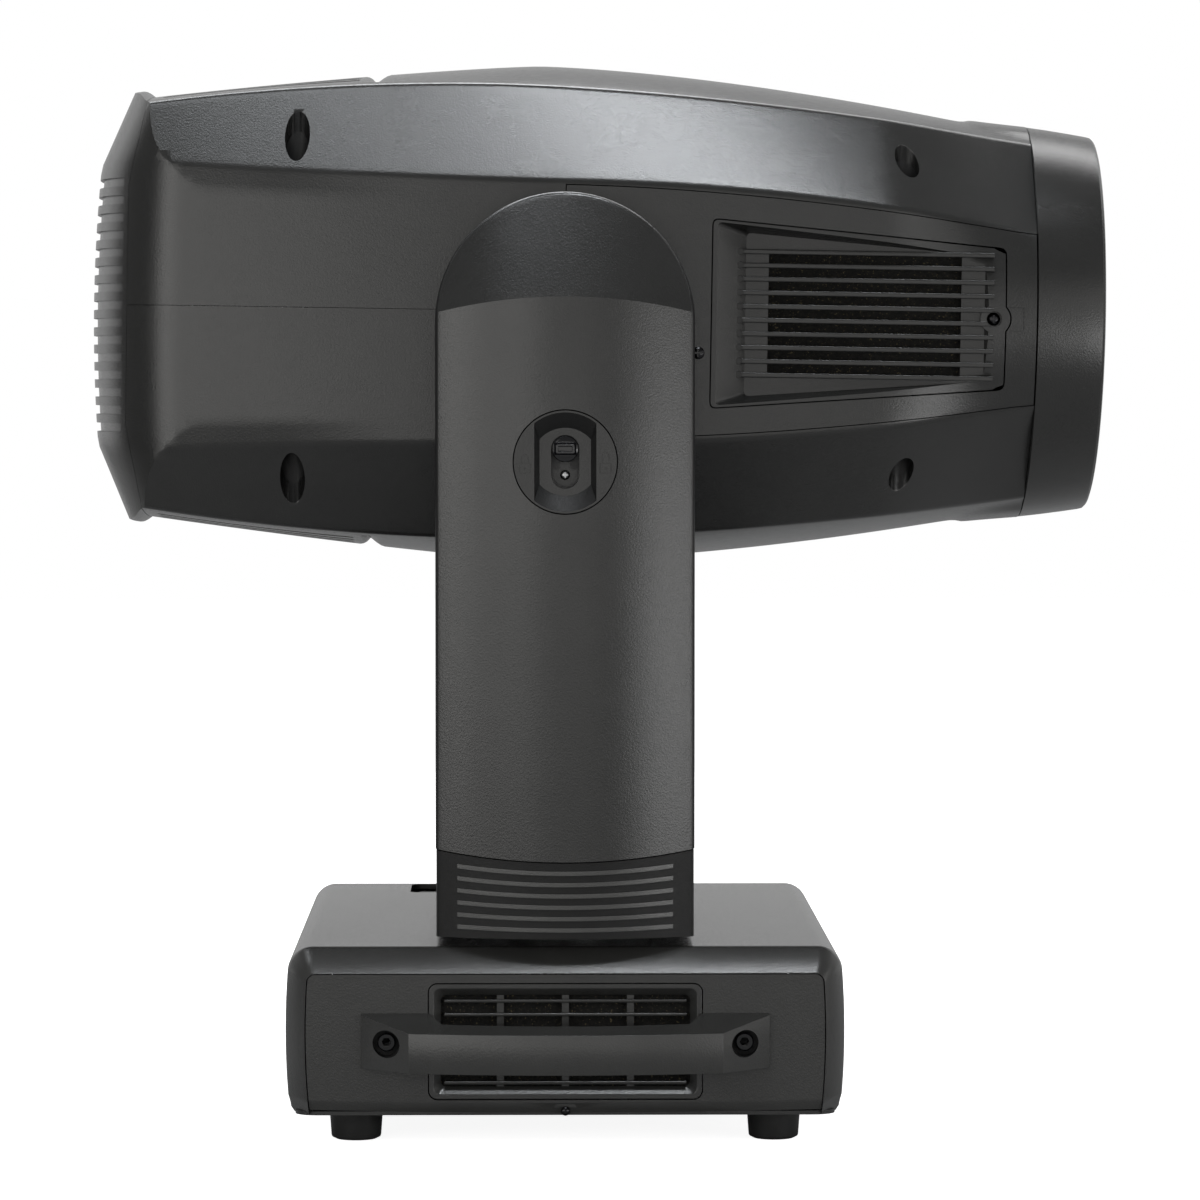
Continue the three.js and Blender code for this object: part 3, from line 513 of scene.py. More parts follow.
def base_section(share, inset, low, foot_round=0):
    """The base's outline across y as (x, z) points, from its flat top (share 0) to the lip (share 1)."""
    top = TOP - FRAME_DROP * share - inset
    half = HALF_X - FRAME_INSET * share - inset
    radius = max(mix(CORNER, LIP_CORNER, share) - inset, 2.5)

    def wall(z):
        return half - BULGE * (2 * z / TOP - 1) ** 2

    points = arc(wall(low) - foot_round, low + foot_round, foot_round, -QUARTER, 0, 4)
    points += [(wall(z), z) for z in np.linspace(low + foot_round + 4, top - radius - 3, 10)]
    for along, z in arc(-radius, top - radius, radius, 0, QUARTER, 10):
        points.append((wall(z) + along, z))
    return points + [(-x, z) for x, z in reversed(points)]


def lip_profile():
    """(y, share) stations from the side panel's lip over the slanted frame to the flat top."""
    edge = HALF_Y - FRAME_DEPTH
    stations = [(HALF_Y, 1.05), (HALF_Y - 0.4, 1)]
    for i in range(7):
        t = i / 6
        stations.append((edge - EDGE_ROUND * (2 * t - 1), EDGE_ROUND / FRAME_DEPTH * (1 - t) ** 2))
    return stations


def base_shell():
    """The casing, open at both ends, with a neck for the spindle and a slot for the pan lock."""
    stations = lip_profile()
    sections = [(y, base_section(share, 0, SHELL_FOOT, 8)) for y, share in stations]
    rings = [on_plane(section, "y", -y) for y, section in sections]
    rings += [on_plane(section, "y", y) for y, section in reversed(sections)]
    shell = loft("base_shell_skin", rings)
    mouth = base_section(1, FRAME_LIP, -5)
    wide = base_section(0, WALL, -5)
    inside = [(HALF_Y + 1, mouth), (HALF_Y - 4, mouth), (HALF_Y - FRAME_DEPTH - 3, wide)]
    hollow = [on_plane(section, "y", -y) for y, section in inside]
    hollow += [on_plane(section, "y", y) for y, section in reversed(inside)]
    low, high = box_mm("pan_lock_slider")
    slot = rounded(low.x - 1.5, high.x + 1.5, low.y - 2, low.y + PAN_LOCK_SLOT, 6)
    carve(shell, [loft("hollow", hollow), disc("neck", "z", 0, 0, NECK_R, TOP - 30, TOP + 30, 96),
                  prism("slot", slot, "z", TOP - 20, TOP + 20),
                  prism("control", face_outline("control_panel", 6, PANEL_GAP), "x", 0, FAR),
                  prism("rear", face_outline("connector_panel", 5, PANEL_GAP), "x", -FAR, 0)])
    dress(shell, "base", BASE, "cover", ["base_shell"], 28)


def panel_outline():
    """The side panel, a hair inside the shell's lip, with a bottom edge that bows down."""
    foot = [(x, 0.8 - 1.5 * (1 - (x / 140) ** 2)) for x in np.linspace(-132, 132, 9)]
    return base_section(1, FRAME_LIP + 0.55, 0.8, 1) + foot


def grille_outline(grow, radius=5):
    low, high = box_mm("base_grille_right")
    return rounded(low.x - grow, high.x + grow, low.z - grow, high.z + grow, radius + grow)


def base_side(side, sign):
    """A side panel with its filtered air intake, screw and handle. Drawn at -y and mirrored for the left."""
    low, high = box_mm("base_side_panel_right")
    face = low.y
    panel = prism("panel", panel_outline(), "y", face, high.y)
    slope = ((-5, -5), (-5, 10.5), (0, 8.3), (4.2, -0.3), (4.2, -5))
    foot = loft("foot", [[(x, face + y, z + 2.2 * (x / HALF_X) ** 2) for y, z in slope]
                         for x in np.linspace(-HALF_X, HALF_X, 13)])
    tab = prism("tab", rounded(-6.2, 6.2, -2, 7.6, 2), "y", face - 1, face + 1.6)
    carve(panel, [prism("window", grille_outline(0.5), "y", -FAR, 0), foot, tab])
    soften(panel, 0.7, 2)
    grille = base_grille(face)
    handle = carrying_handle(face)
    pieces = [(panel, BASE, "base_side_panel", "cover"), (grille, BASE, "base_grille", "cover"),
              (handle, HANDLE, "handle", "cover")]
    for piece, finish, node, slot in pieces:
        body = for_side(piece, f"{node}_skin_{side}", sign)
        dress(body, "base", finish, slot, [f"{node}_{side}"], 30, flat=True)
        if node == "handle":
            # painted shade: the bolt wells' walls and floors take the black finish
            second_finish(body, BLACK_AND_SHADE, gets_painted_well_shade)
        discard(piece)
    low, high = box_mm("base_grille_right")
    pad = block("base_filter_" + side, low.x + 6, high.x - 6, -1, 1, low.z + 6, high.z - 6)
    move(pad, 0, -sign * (low.y + 9.5))
    dress(pad, "base", FOAM, "foam")
    star_screw("panel_screw_" + side, (0, sign * -(face - 0.2), 3.4), (0, sign, 0), 2.6, "base", BLACK_STEEL)
    for i, x in enumerate((-HANDLE_BOLT_X, HANDLE_BOLT_X)):
        seat = (x, -sign * (face - HANDLE_WELL_DEPTH), HANDLE_BOLT_Z)
        socket_screw(f"handle_bolt_{side}_{i + 1}", seat, (0, sign, 0), 5.2, "base", GLOSS)


def gets_painted_well_shade(face):
    """Whether a face of the handle is the wall or the floor of a bolt's well, which gets painted shade."""
    across = math.hypot(abs(face.center.x) / MM - HANDLE_BOLT_X, face.center.z / MM - HANDLE_BOLT_Z)
    return across < HANDLE_WELL_R + 0.2 and not 0.3 < abs(face.normal.y) < 0.95


def base_grille(face):
    """Frame, slats and the upright ribs behind them."""
    low, high = box_mm("base_grille_right")
    front = face + 0.4
    ring = prism("ring", grille_outline(0), "y", front, high.y)
    depths = ((2.4, 4, front - 1), (2.8, 4, front), (7, 3, front + 4.5), (7, 3, high.y + 1))
    opening = loft("opening", [on_plane(grille_outline(-shrink, radius + shrink), "y", y)
                               for shrink, radius, y in depths])
    soften(carve(ring, [opening]), 0.5, 3)
    bars = []
    half = high.x - 9
    for i in range(GRILLE_BARS):
        z = GRILLE_TOP_BAR - GRILLE_PITCH * i
        bars.append(prism("bar", rounded(front + 1.4, front + 5.6, z - 1, z + 1, 0.9, 4), "x", -half, half))
    for x in (-37, 0, 37):
        bars.append(block("rib", x - 2, x + 2, front + 4.4, front + 7, low.z + 5, high.z - 5))
    return join(ring, bars)


def handle_reach(x, end, bow):
    """How far the handle stands off the panel: slanted end blocks and a bowed grip between them."""
    over = abs(x) - HANDLE_BAR_X
    if over > 0:
        return mix(HANDLE_REACH, HANDLE_END_REACH, over / (end - HANDLE_BAR_X))
    return HANDLE_REACH + bow * (1 - (x / HANDLE_BAR_X) ** 2)


def carrying_handle(face):
    """A bowed grip between two slanted end blocks, with a well for the bolt in each block."""
    low, high = box_mm("handle_right")
    root = high.y
    bow = root - low.y - HANDLE_REACH
    grip = np.linspace(-HANDLE_BAR_X, HANDLE_BAR_X, 33)
    rings = []
    for x in (-high.x, *grip, high.x):
        reach = handle_reach(x, high.x, bow)
        top = high.z - (high.z - HANDLE_BAR_TOP) * min(reach / HANDLE_REACH, 1)
        crown = 1.1 if abs(x) < HANDLE_BAR_X + 1 else 0
        front = [(x, root - reach + crown * (2 * t - 1) ** 2, mix(low.z, top, t))
                 for t in np.linspace(0, 1, 7)]
        rings.append([(x, root, low.z), *front, (x, root, high.z)])
    handle = loft("handle", rings)
    grip_half = HANDLE_GAP_X - 8
    inner = [(x, root - handle_reach(x, high.x, bow) + HANDLE_DEPTH)
             for x in np.linspace(-grip_half, grip_half, 27)]
    gap = prism("gap", [(-HANDLE_GAP_X, root + 1), *inner, (HANDLE_GAP_X, root + 1)], "z", 0, TOP)
    carve(handle, [gap])
    soften(handle, 1.2, 3, 24)
    wells = [disc("well", "y", x, HANDLE_BOLT_Z, HANDLE_WELL_R, -FAR, face - HANDLE_WELL_DEPTH, 40)
             for x in (-HANDLE_BOLT_X, HANDLE_BOLT_X)]
    return carve(handle, wells)


def foot(name):
    low, high = box_mm(name)
    centre = (low + high) / 2
    radius = (high.x - low.x) / 2
    profile = [(0, low.z), (radius - 4, low.z), (radius - 1.6, low.z + 1.2), (radius - 1.2, low.z + 2.2),
               (radius - 0.2, high.z - 1), (radius, high.z), (0, high.z)]
    body = lathe(name + "_pad", profile, 56)
    move(body, centre.x, centre.y)
    dress(body, "base", RUBBER, "rubber", [name], 40)


def base_bottom():
    low, high = box_mm("base_plate")
    outline = rounded(low.x - 3, high.x + 3, low.y - 1.5, high.y + 1.5, 12)
    plate = prism("base_plate_skin", outline, "z", 0.8, high.z)
    join(plate, [prism("pad", rounded(-96, 96, -150, 150, 8), "z", low.z, high.z - 0.5)])
    carve(plate, [disc("hole", "z", x, y, 5, -5, 10, 32) for x in (-85, 85) for y in (-60, 60)])
    dress(plate, "base", SHEET, "sheet", ["base_plate"])


def build_base():
    base_shell()
    for side, sign in SIDES:
        base_side(side, sign)
    base_bottom()
    for end in ("front", "rear"):
        for side, _ in SIDES:
            foot(f"foot_{end}_{side}")


# ---------------------------------------------------------------- control and connector panels
BUTTONS = ("up", "down", "back", "enter")
SOCKETS = ("power_inlet", "data_in_socket", "data_out_socket")


def control_panel():
    low, high = box_mm("control_panel")
    plate = prism("control_fascia", face_outline("control_panel", 6), "x", low.x, high.x)
    cutters = [prism("window", face_outline("display_window", 2, PANEL_GAP), "x", 0, FAR)]
    for name in BUTTONS:
        centre = centre_mm("menu_button_" + name)
        cutters.append(disc("button", "x", centre.y, centre.z, 6.6, 0, FAR))
    carve(plate, cutters)
    soften(plate, 0.5, 3)
    dress(plate, "base", GLOSS, "gloss_black", ["control_panel"])
    low, high = box_mm("display_window")
    window = prism("display_glass", face_outline("display_window", 2), "x", low.x, high.x)
    soften(window, 0.4, 2)
    dress(window, "base", SCREEN, "screen", ["display_window"])
    for name in BUTTONS:
        menu_button(name)


def menu_button(name):
    low, high = box_mm("menu_button_" + name)
    centre = (low + high) / 2
    depth = high.x - low.x
    profile = [(0, depth - 0.5), (2.6, depth - 0.35), (4.6, depth - 0.1), (5.5, depth), (6, depth - 0.6),
               (6, 2.7), (7.4, 2.7), (7.4, 0), (0, 0)]
    button = lathe("menu_key_" + name, profile, 40)
    aim(button, (low.x, centre.y, centre.z), (1, 0, 0))
    dress(button, "button_" + name, SKIRT_AND_SHADE, "skirt", ["menu_button_" + name])


def connector_side():
    low, high = box_mm("connector_panel")
    plate = prism("connector_fascia", face_outline("connector_panel", 5), "x", low.x, high.x)
    cutters = []
    for name in SOCKETS:
        centre = centre_mm(name)
        radius = box_mm(name)[1].y - centre.y - 2
        cutters.append(disc("socket", "x", centre.y, centre.z, radius, -FAR, 0))
    carve(plate, cutters)
    soften(plate, 0.4, 2)
    dress(plate, "base", SHEET, "sheet", ["connector_panel"])
    round_socket(SOCKETS[0], GLOSS, "gloss_black", 3)
    for name in SOCKETS[1:]:
        round_socket(name, ALLOY, "alloy", 5)


def round_socket(name, finish, slot, pins):
    """A round socket with a flange behind the panel and a ring of contact pins on its floor."""
    low, high = box_mm(name)
    centre = (low + high) / 2
    radius = (high.y - low.y) / 2 - 2.5
    depth = high.x - low.x
    floor = depth - 19
    flange = radius + 2.4
    profile = [(0, floor), (radius - 3, floor), (radius - 3, depth - 0.6), (radius - 2.4, depth),
               (radius - 0.6, depth), (radius, depth - 0.6), (radius, depth - 5.3), (flange, depth - 5.3),
               (flange, depth - 8), (radius, depth - 8), (radius, 0), (0, 0)]
    shell = lathe(name + "_shell", profile, 56)
    aim(shell, (high.x, centre.y, centre.z), (-1, 0, 0))
    dress(shell, "base", finish, slot, [name])
    ring = (radius - 3) * 0.55
    for i in range(pins):
        turn = 2 * math.pi * i / pins + math.pi / 2
        pin = lathe(f"{name}_pin_{i + 1}", [(0, 12), (0.7, 11.6), (1.1, 10.8), (1.1, 0), (0, 0)], 16)
        place = (high.x - floor, centre.y + ring * math.cos(turn), centre.z + ring * math.sin(turn))
        aim(pin, place, (-1, 0, 0))
        dress(pin, "base", ALLOY, "alloy")


def pan_lock():
    low, high = box_mm("pan_lock_slider")
    outline = rounded(low.x + 4, high.x - 4, low.y + 1, high.y - 1, 4)
    lever = prism("pan_lock_lever", outline, "z", low.z + 4, high.z)
    carve(lever, [block("groove", low.x, high.x, y - 0.8, y + 0.8, high.z - 1, high.z + 5)
                  for y in np.arange(low.y + 5, high.y - 3, 3.4)])
    soften(lever, 0.5, 2)
    dress(lever, "pan_lock", GLOSS, "gloss_black")
    shoe = prism("pan_lock_shoe", rounded(low.x, high.x, low.y, high.y, 3), "z", low.z, low.z + 3.8)
    dress(shoe, "pan_lock", GLOSS, "gloss_black", ["pan_lock_slider"])


def build_panels():
    control_panel()
    connector_side()
    pan_lock()


# ---------------------------------------------------------------- yoke arms
ARM_LOW, ARM_HIGH = box_mm("arm_cover_outer_right")
SKIRT_LOW = box_mm("arm_skirt_right")[0]
ARM_X = ARM_HIGH.x
ARM_OUT = -ARM_LOW.y
ARM_IN = -ARM_HIGH.y
ARM_ROUND_Z = ARM_HIGH.z - 2 - ARM_X
ARM_SAG = 19
# the facet leans in above an arch whose middle is at FACET_Z
FACET_Z = 466
FACET_FALL = 9
FACET_LEAN = math.tan(math.radians(24))
ARM_EDGE = 2
# the skirt's top edge rises from its middle to its ends
SKIRT_MID_Z = 144.7
SKIRT_END_Z = 151
SKIRT_INSET = 0.4
RIBS = 6
RIB_TOP = 138.6
RIB_PITCH = 6.45
RIB_HALF_X = 61.5


def arm_front(x, z=0.0):
    """How far out the arm's crowned face stands, which is the same at every height z."""
    return ARM_OUT - ARM_SAG * (x / ARM_X) ** 2


def arm_facet(x, z):
    """How far out the leaning facet stands; it meets the crowned face along a shallow arch."""
    return arm_front(x) - (z - FACET_Z + FACET_FALL * (x / ARM_X) ** 2) * FACET_LEAN


def arch_body(name, face, low, inset, inner):
    """An arched body from the arm's inner face to a curved face with a rounded rim, at -y."""
    half = ARM_X - inset
    heights = np.linspace(low, ARM_ROUND_Z, 60)

    def outline(shrink):
        r = half - shrink
        left = [(-r, z) for z in heights]
        right = [(r, z) for z in heights[::-1]]
        return left + arc(0, ARM_ROUND_Z, r, math.pi, 0, 60)[1:-1] + right

    profile = [(0, inset + ARM_EDGE + 4)]
    profile += [(ARM_EDGE - u, inset + ARM_EDGE - v) for u, v in arc(0, 0, ARM_EDGE, 0, QUARTER, 8)]
    profile += [(shrink, inset) for shrink in np.linspace(ARM_EDGE + 2, half - 0.02, 26)]
    rings = [[(x, -inner, z) for x, z in outline(0)]]
    rings += [[(x, depth - face(x, z), z) for x, z in outline(shrink)] for shrink, depth in profile]
    verts = np.array(rings).reshape(-1, 3)
    count = len(rings[0])
    last = (len(rings) - 1) * count
    faces = [(a, a + 1, a + 1 + count, a + count)
             for r in range(len(rings) - 1) for a in range(r * count, (r + 1) * count - 1)]
    for a in range(last, last + count // 2):
        b = 2 * last + count - 1 - a
        faces.append((a, a + 1, b - 1, b) if b - 1 > a + 1 else (a, a + 1, b))
    faces.append(tuple(range(count - 1, -1, -1)))
    first = [r * count for r in range(len(rings))]
    faces.append(tuple(first + [a + count - 1 for a in reversed(first)]))
    return solid(name, verts, faces)


def arm_skin(name, low, inset=0, inner=ARM_IN):
    """The arm's arched body, crowned below and with the leaning facet above."""
    body = arch_body(name, arm_front, low, inset, inner)
    return limit(body, [arch_body("facet", arm_facet, low, inset, inner)])


def skirt_line(x, shift):
    return mix(SKIRT_MID_Z, SKIRT_END_Z, (x / ARM_X) ** 2) + shift


def below_skirt_line(shift):
    xs = np.linspace(-ARM_X - 5, ARM_X + 5, 41)
    points = [(xs[0], 0)] + [(x, skirt_line(x, shift)) for x in xs] + [(xs[-1], 0)]
    return prism("below", points, "y", -FAR, 0)


def arm_cover(side, sign):
    """The outer cover of an arm down to its skirt. Drawn at -y and mirrored for the left."""
    cover = arm_skin("cover", ARM_LOW.z - 2)
    hollow = arm_skin("hollow", ARM_LOW.z - 12, WALL, ARM_IN - 10)
    cutters = [hollow, below_skirt_line(0.35)]
    if sign < 0:
        low, high = box_mm("tilt_lock_bezel")
        hole = (high.x - low.x) / 2 + 0.7
        cutters.append(disc("lock", "y", 0, (low.z + high.z) / 2, hole, -FAR, -180, 96))
    carve(cover, cutters)
    body = for_side(cover, "arm_shell_" + side, sign)
    discard(cover)
    dress(body, "yoke", COVER, "cover", ["arm_cover_outer_" + side], 19)
    # painted shade: the cover's side walls take the near-black skirt finish, which darkens the arm's outline
    # at both sides
    second_finish(body, SKIRT_AND_SHADE, lambda face: abs(face.normal.x) > 0.7)


def arm_skirt(side, sign):
    """The skirt at the foot of an arm, with its curved bars let into it."""
    skirt = arm_skin("skirt", SKIRT_LOW.z, SKIRT_INSET)
    hollow = arm_skin("hollow", SKIRT_LOW.z - 12, WALL + SKIRT_INSET, ARM_IN - 10)
    carve(skirt, [hollow])
    limit(skirt, [below_skirt_line(-0.35)])
    carve(skirt, [skirt_rib(i, 0.9, 1.35) for i in range(RIBS)])
    body = for_side(skirt, "skirt_shell_" + side, sign)
    discard(skirt)
    dress(body, "yoke", SKIRT_AND_SHADE, "skirt", ["arm_skirt_" + side], 30)
    room = arm_skin("room", SKIRT_LOW.z)
    for i in range(RIBS):
        rib = skirt_rib(i, 1.6, 1.2)
        limit(rib, [room], spare=True)
        body = for_side(rib, f"skirt_rib_{side}_{i + 1}", sign)
        discard(rib)
        dress(body, "yoke", RIB, "skirt", (), 30)
    discard(room)


def skirt_rib(index, depth, half):
    """One of the curved bars across the skirt, as a body that reaches `depth` into it."""
    mid = RIB_TOP - RIB_PITCH * index
    sag = 3.4 - 0.45 * index
    rings = []
    for x in np.linspace(-RIB_HALF_X, RIB_HALF_X, 41):
        out = SKIRT_INSET - arm_front(x) - 3
        into = out + 3 + depth
        z = mid + sag * (x / RIB_HALF_X) ** 2
        rings.append([(x, out, z - half), (x, into, z - half), (x, into, z + half), (x, out, z + half)])
    return loft("rib", rings)


def arm_inner(side, sign):
    """The flat cover on an arm's inner face, with its screws."""
    low, high = box_mm("arm_cover_inner_" + side)
    outline = [(-high.x, low.z), (high.x, low.z)] + arc(0, ARM_ROUND_Z, high.x, 0, math.pi, 60)
    plate = prism("arm_lining_" + side, outline, "y", low.y, high.y)
    carve(plate, [disc("hole", "y", 0, TILT_AXIS_Z, 24, -FAR, FAR, 96)])
    dress(plate, "yoke", COVER, "cover", ["arm_cover_inner_" + side])
    inner_face = high.y if sign < 0 else low.y
    for i, (x, z) in enumerate(((-55, 180), (55, 180), (-55, 400), (55, 400), (0, 510))):
        place = (x, inner_face + sign * 0.5, z)
        star_screw(f"lining_screw_{side}_{i + 1}", place, (0, -sign, 0), 3.2, "yoke", BLACK_STEEL)


def bridge():
    low, high = box_mm("bridge_cover")
    round_r = 14
    outline = [(high.x, low.z), (high.x, high.z - round_r)]
    outline += arc(high.x - round_r, high.z - round_r, round_r, 0, QUARTER, 8)
    outline += [(-x, z) for x, z in reversed(outline)]
    cover = prism("bridge_shell", outline, "y", low.y, high.y)
    inside = [(x - math.copysign(WALL, x), z - 5 if z == low.z else z - WALL) for x, z in outline]
    carve(cover, [prism("in", inside, "y", -FAR, FAR)])
    dress(cover, "yoke", COVER, "cover", ["bridge_cover"])


# ---------------------------------------------------------------- tilt lock
LOCK_MOUTH_HALF = 17.6
LOCK_FLOOR_R = 19.4
LOCK_FLOOR_HALF = 14.6
LOCK_SLOT_HALF = 15.2
PADLOCK_LINE = 0.64
PADLOCK_HALF = 3.4
SHACKLE_R = 2.2


def clipped_circle(z, radius, half, steps=13):
    """A circle about (0, z) with both sides cut off at x = half, as (x, z) points."""
    start = math.acos(half / radius)
    upper = arc(0, z, radius, start, math.pi - start, steps)
    return upper + arc(0, z, radius, math.pi + start, 2 * math.pi - start, steps)


def padlock(x, z, front, lift):
    """Fine grooves that outline a padlock, with its shackle lifted clear when it is open."""
    line = PADLOCK_LINE
    deep = front + 0.5
    half = PADLOCK_HALF
    foot_z = z - 6.6
    top = z - 0.4
    body = prism("body", rounded(x - half, x + half, foot_z, top, 0.8), "y", front - 1, deep)
    inner = rounded(x - half + line, x + half - line, foot_z + line, top - line, 0.4)
    carve(body, [prism("inner", inner, "y", -FAR, 0)])
    shackle = prism("shackle", shackle_outline(x, z, lift), "y", front - 1, deep)
    keyhole = disc("keyhole", "y", x, z - 3.5, 0.8, front - 1, deep, 20)
    return [body, shackle, keyhole]


def shackle_outline(x, z, lift):
    tight = SHACKLE_R - PADLOCK_LINE
    top = z + 2.4 + lift
    outer = arc(x, top, SHACKLE_R, 0, math.pi, 12)
    inner = arc(x, top, tight, math.pi, 0, 12)
    feet = [(x - SHACKLE_R, z), (x - tight, z)]
    return [(x + SHACKLE_R, z + lift), *outer, *feet, *inner, (x + tight, z + lift)]


def tilt_lock():
    """The round bezel with its sunk channel, and the knob that slides in the channel's slot."""
    low, high = box_mm("tilt_lock_bezel")
    radius = (high.x - low.x) / 2
    front = low.y
    z0 = (low.z + high.z) / 2
    bezel = disc("tilt_lock_ring", "y", 0, z0, radius, front, high.y, 96)
    mouth = clipped_circle(z0, radius - 1.1, LOCK_MOUTH_HALF)
    floor = clipped_circle(z0, LOCK_FLOOR_R, LOCK_FLOOR_HALF)
    channel = loft("channel", [on_plane(mouth, "y", front - 1), on_plane(mouth, "y", front + 0.3),
                               on_plane(floor, "y", front + 6.5), on_plane(floor, "y", front + 6.6)])
    outline = rounded(-8, 8, z0 - LOCK_SLOT_HALF, z0 + LOCK_SLOT_HALF, 7.9, 10)
    slot = prism("slot", outline, "y", front - 5, high.y + 5)
    carve(bezel, [channel, slot])
    soften(bezel, 0.3, 2)
    badge_x = (radius + LOCK_MOUTH_HALF) / 2 - 0.6
    carve(bezel, padlock(-badge_x, z0, front, 0) + padlock(badge_x, z0, front, 1.2))
    dress(bezel, "yoke", COVER, "cover", ["tilt_lock_bezel"], 30, flat=True)
    # painted shade: the channel's walls and floor, the slot and the padlock grooves take the near-black skirt
    # finish
    second_finish(bezel, SKIRT_AND_SHADE, lambda face: face.center.y > (front + 0.2) * MM and face.normal.y > -0.9)
    tilt_lock_knob()
    back = box_mm("tilt_lock_slider")[1].y
    backing = block("tilt_lock_backing", -9, 9, back + 0.4, back + 1.6, z0 - 17, z0 + 17)
    dress(backing, "yoke", COVER, "cover")
    star_screw("tilt_lock_screw", (0, back - 1.5, z0 - LOCK_SLOT_HALF / 2), (0, -1, 0), 2.8, "yoke", STEEL)


def tilt_lock_knob():
    """The knob with its hollow grip, and the shoe behind the slot that it rides on."""
    low, high = box_mm("tilt_lock_slider")
    knob_z = high.z - 10.6
    knob = lathe("tilt_lock_knob", [(0, 15), (6.2, 15.2), (7.2, 14.7), (7.6, 13.6), (7.6, 4.5), (0, 4.5)], 48)
    aim(knob, (0, high.y, knob_z), (0, -1, 0))
    grip = loft("grip", [on_plane(rounded(-6.6, 6.6, knob_z - 4, knob_z + 4, 1.4), "y", high.y - 14.5),
                         on_plane(rounded(-5.2, 5.2, knob_z - 2.6, knob_z + 2.6, 1), "y", low.y)])
    hollow = loft("hollow", [on_plane(rounded(-4.4, 4.4, knob_z - 1.9, knob_z + 1.9, 0.6), "y", low.y - 1),
                             on_plane(rounded(-3.8, 3.8, knob_z - 1.4, knob_z + 1.4, 0.6), "y", low.y + 0.9)])
    carve(join(knob, [grip]), [hollow])
    soften(knob, 0.35, 3)
    dress(knob, "tilt_lock", GLOSS, "gloss_black", ["tilt_lock_slider"])
    shoe = block("tilt_lock_shoe", -10, 10, high.y - 4.4, high.y, low.z, high.z)
    carve(shoe, [block("guide", -3.6, 3.6, -FAR, 0, low.z - 1, low.z + 15.5)])
    dress(shoe, "tilt_lock", SHEET, "sheet")


def build_yoke():
    for side, sign in SIDES:
        arm_cover(side, sign)
        arm_skirt(side, sign)
        arm_inner(side, sign)
    bridge()
    tilt_lock()


# ---------------------------------------------------------------- head: the skin's formulas
BEZEL_LOW, BEZEL_HIGH = head_box("front_bezel")
HEAD_FRONT = head_box("head_top_cover")[1][0]
BEZEL_R = 118
# the rear in plan, and how it leans in beyond the flat part
REAR = -head_box("rear_cap")[0][0]
REAR_START = 205
REAR_LEAN = 0.44
REAR_FLAT_V = 82
REAR_POWER = 2.8
# the section turns round from ROUNDING_X to the front; the roof is highest at CREST_X
ROUNDING_X = 185
CREST_X = -16
CREST = 149
NOSE_FALL = 27
TAIL_FALL = 23.2
SEAM_X = -256
CAP_PROUD = 4.2
LIP_CREST_X = -254.3
LIP_ROUND = 8
VENT_REAR = -262
VENT_FRONT = -113
VENT_HALF_Y = 97
# the long facet's two edges: y at the widest place and at the front, and height in the middle
FACET_TOP_Y = 104
FACET_TOP_V = 133
FACET_END_Y = 52.5
FACET_FOOT_V = 76
FOOT_END_Y = 107
SIDE_HALF_Y = 136
COLLAR_START_X = 150
COLLAR_X = 245
COLLAR_R = 121
FILLET = 2.5
CREASE_SHARE = 0.83


def crown(x):
    """Height of the roof along its middle."""
    if x > CREST_X:
        return CREST - NOSE_FALL * ((x - CREST_X) / 243) ** 1.6
    return CREST - TAIL_FALL * ((CREST_X - x) / 230) ** 1.26


def round_share(x):
    """How far the section has turned from faceted to round."""
    return smoothstep((x - ROUNDING_X) / (HEAD_FRONT - ROUNDING_X))


def facet_top(x):
    """Where the long facet starts below the roof, as (y, v)."""
    y = FACET_TOP_Y - 20 * (max(x + 80, 0) / 280) ** 2
    past = (x + 50) / 200
    fall = 15 * past ** 2 if past < 0 else 12.07 * past ** 1.7
    return np.array([mix(y, FACET_END_Y, round_share(x)), FACET_TOP_V - fall])


def side_half(x):
    return SIDE_HALF_Y - (6 * (x / 155) ** 2 if x < 0 else 10 * (x / 199) ** 2)


def fold(x):
    """How far the wall leans in above its crease, which fades out towards the arm."""
    return 2.2 * smoothstep((-68 - x) / 110)


def facet_foot(x):
    """Where the long facet meets the side wall, as (y, v)."""
    rise = 6.4 * (-x / 222) ** 1.6 if x < 0 else -26.1 * (x / 276) ** 2.08
    return np.array([mix(side_half(x) - fold(x), FOOT_END_Y, round_share(x)), FACET_FOOT_V + rise])


def collar(x):
    """Radius of the round collar behind the bezel, which swells out of the faceted body."""
    if x < COLLAR_X:
        return max(COLLAR_R - 0.05 * (COLLAR_X - x) ** 2, 0)
    return COLLAR_R - (COLLAR_R - BEZEL_R) * (x - COLLAR_X) / (HEAD_FRONT - COLLAR_X)


def corner(before, point, after, steps=7):
    """A soft corner from one point to another, pulled towards the sharp one."""
    ts = np.linspace(0, 1, steps)[:, None]
    return (1 - ts) ** 2 * before + 2 * ts * (1 - ts) * point + ts ** 2 * after


def towards(a, b, distance):
    return a + (b - a) * distance / np.linalg.norm(b - a)


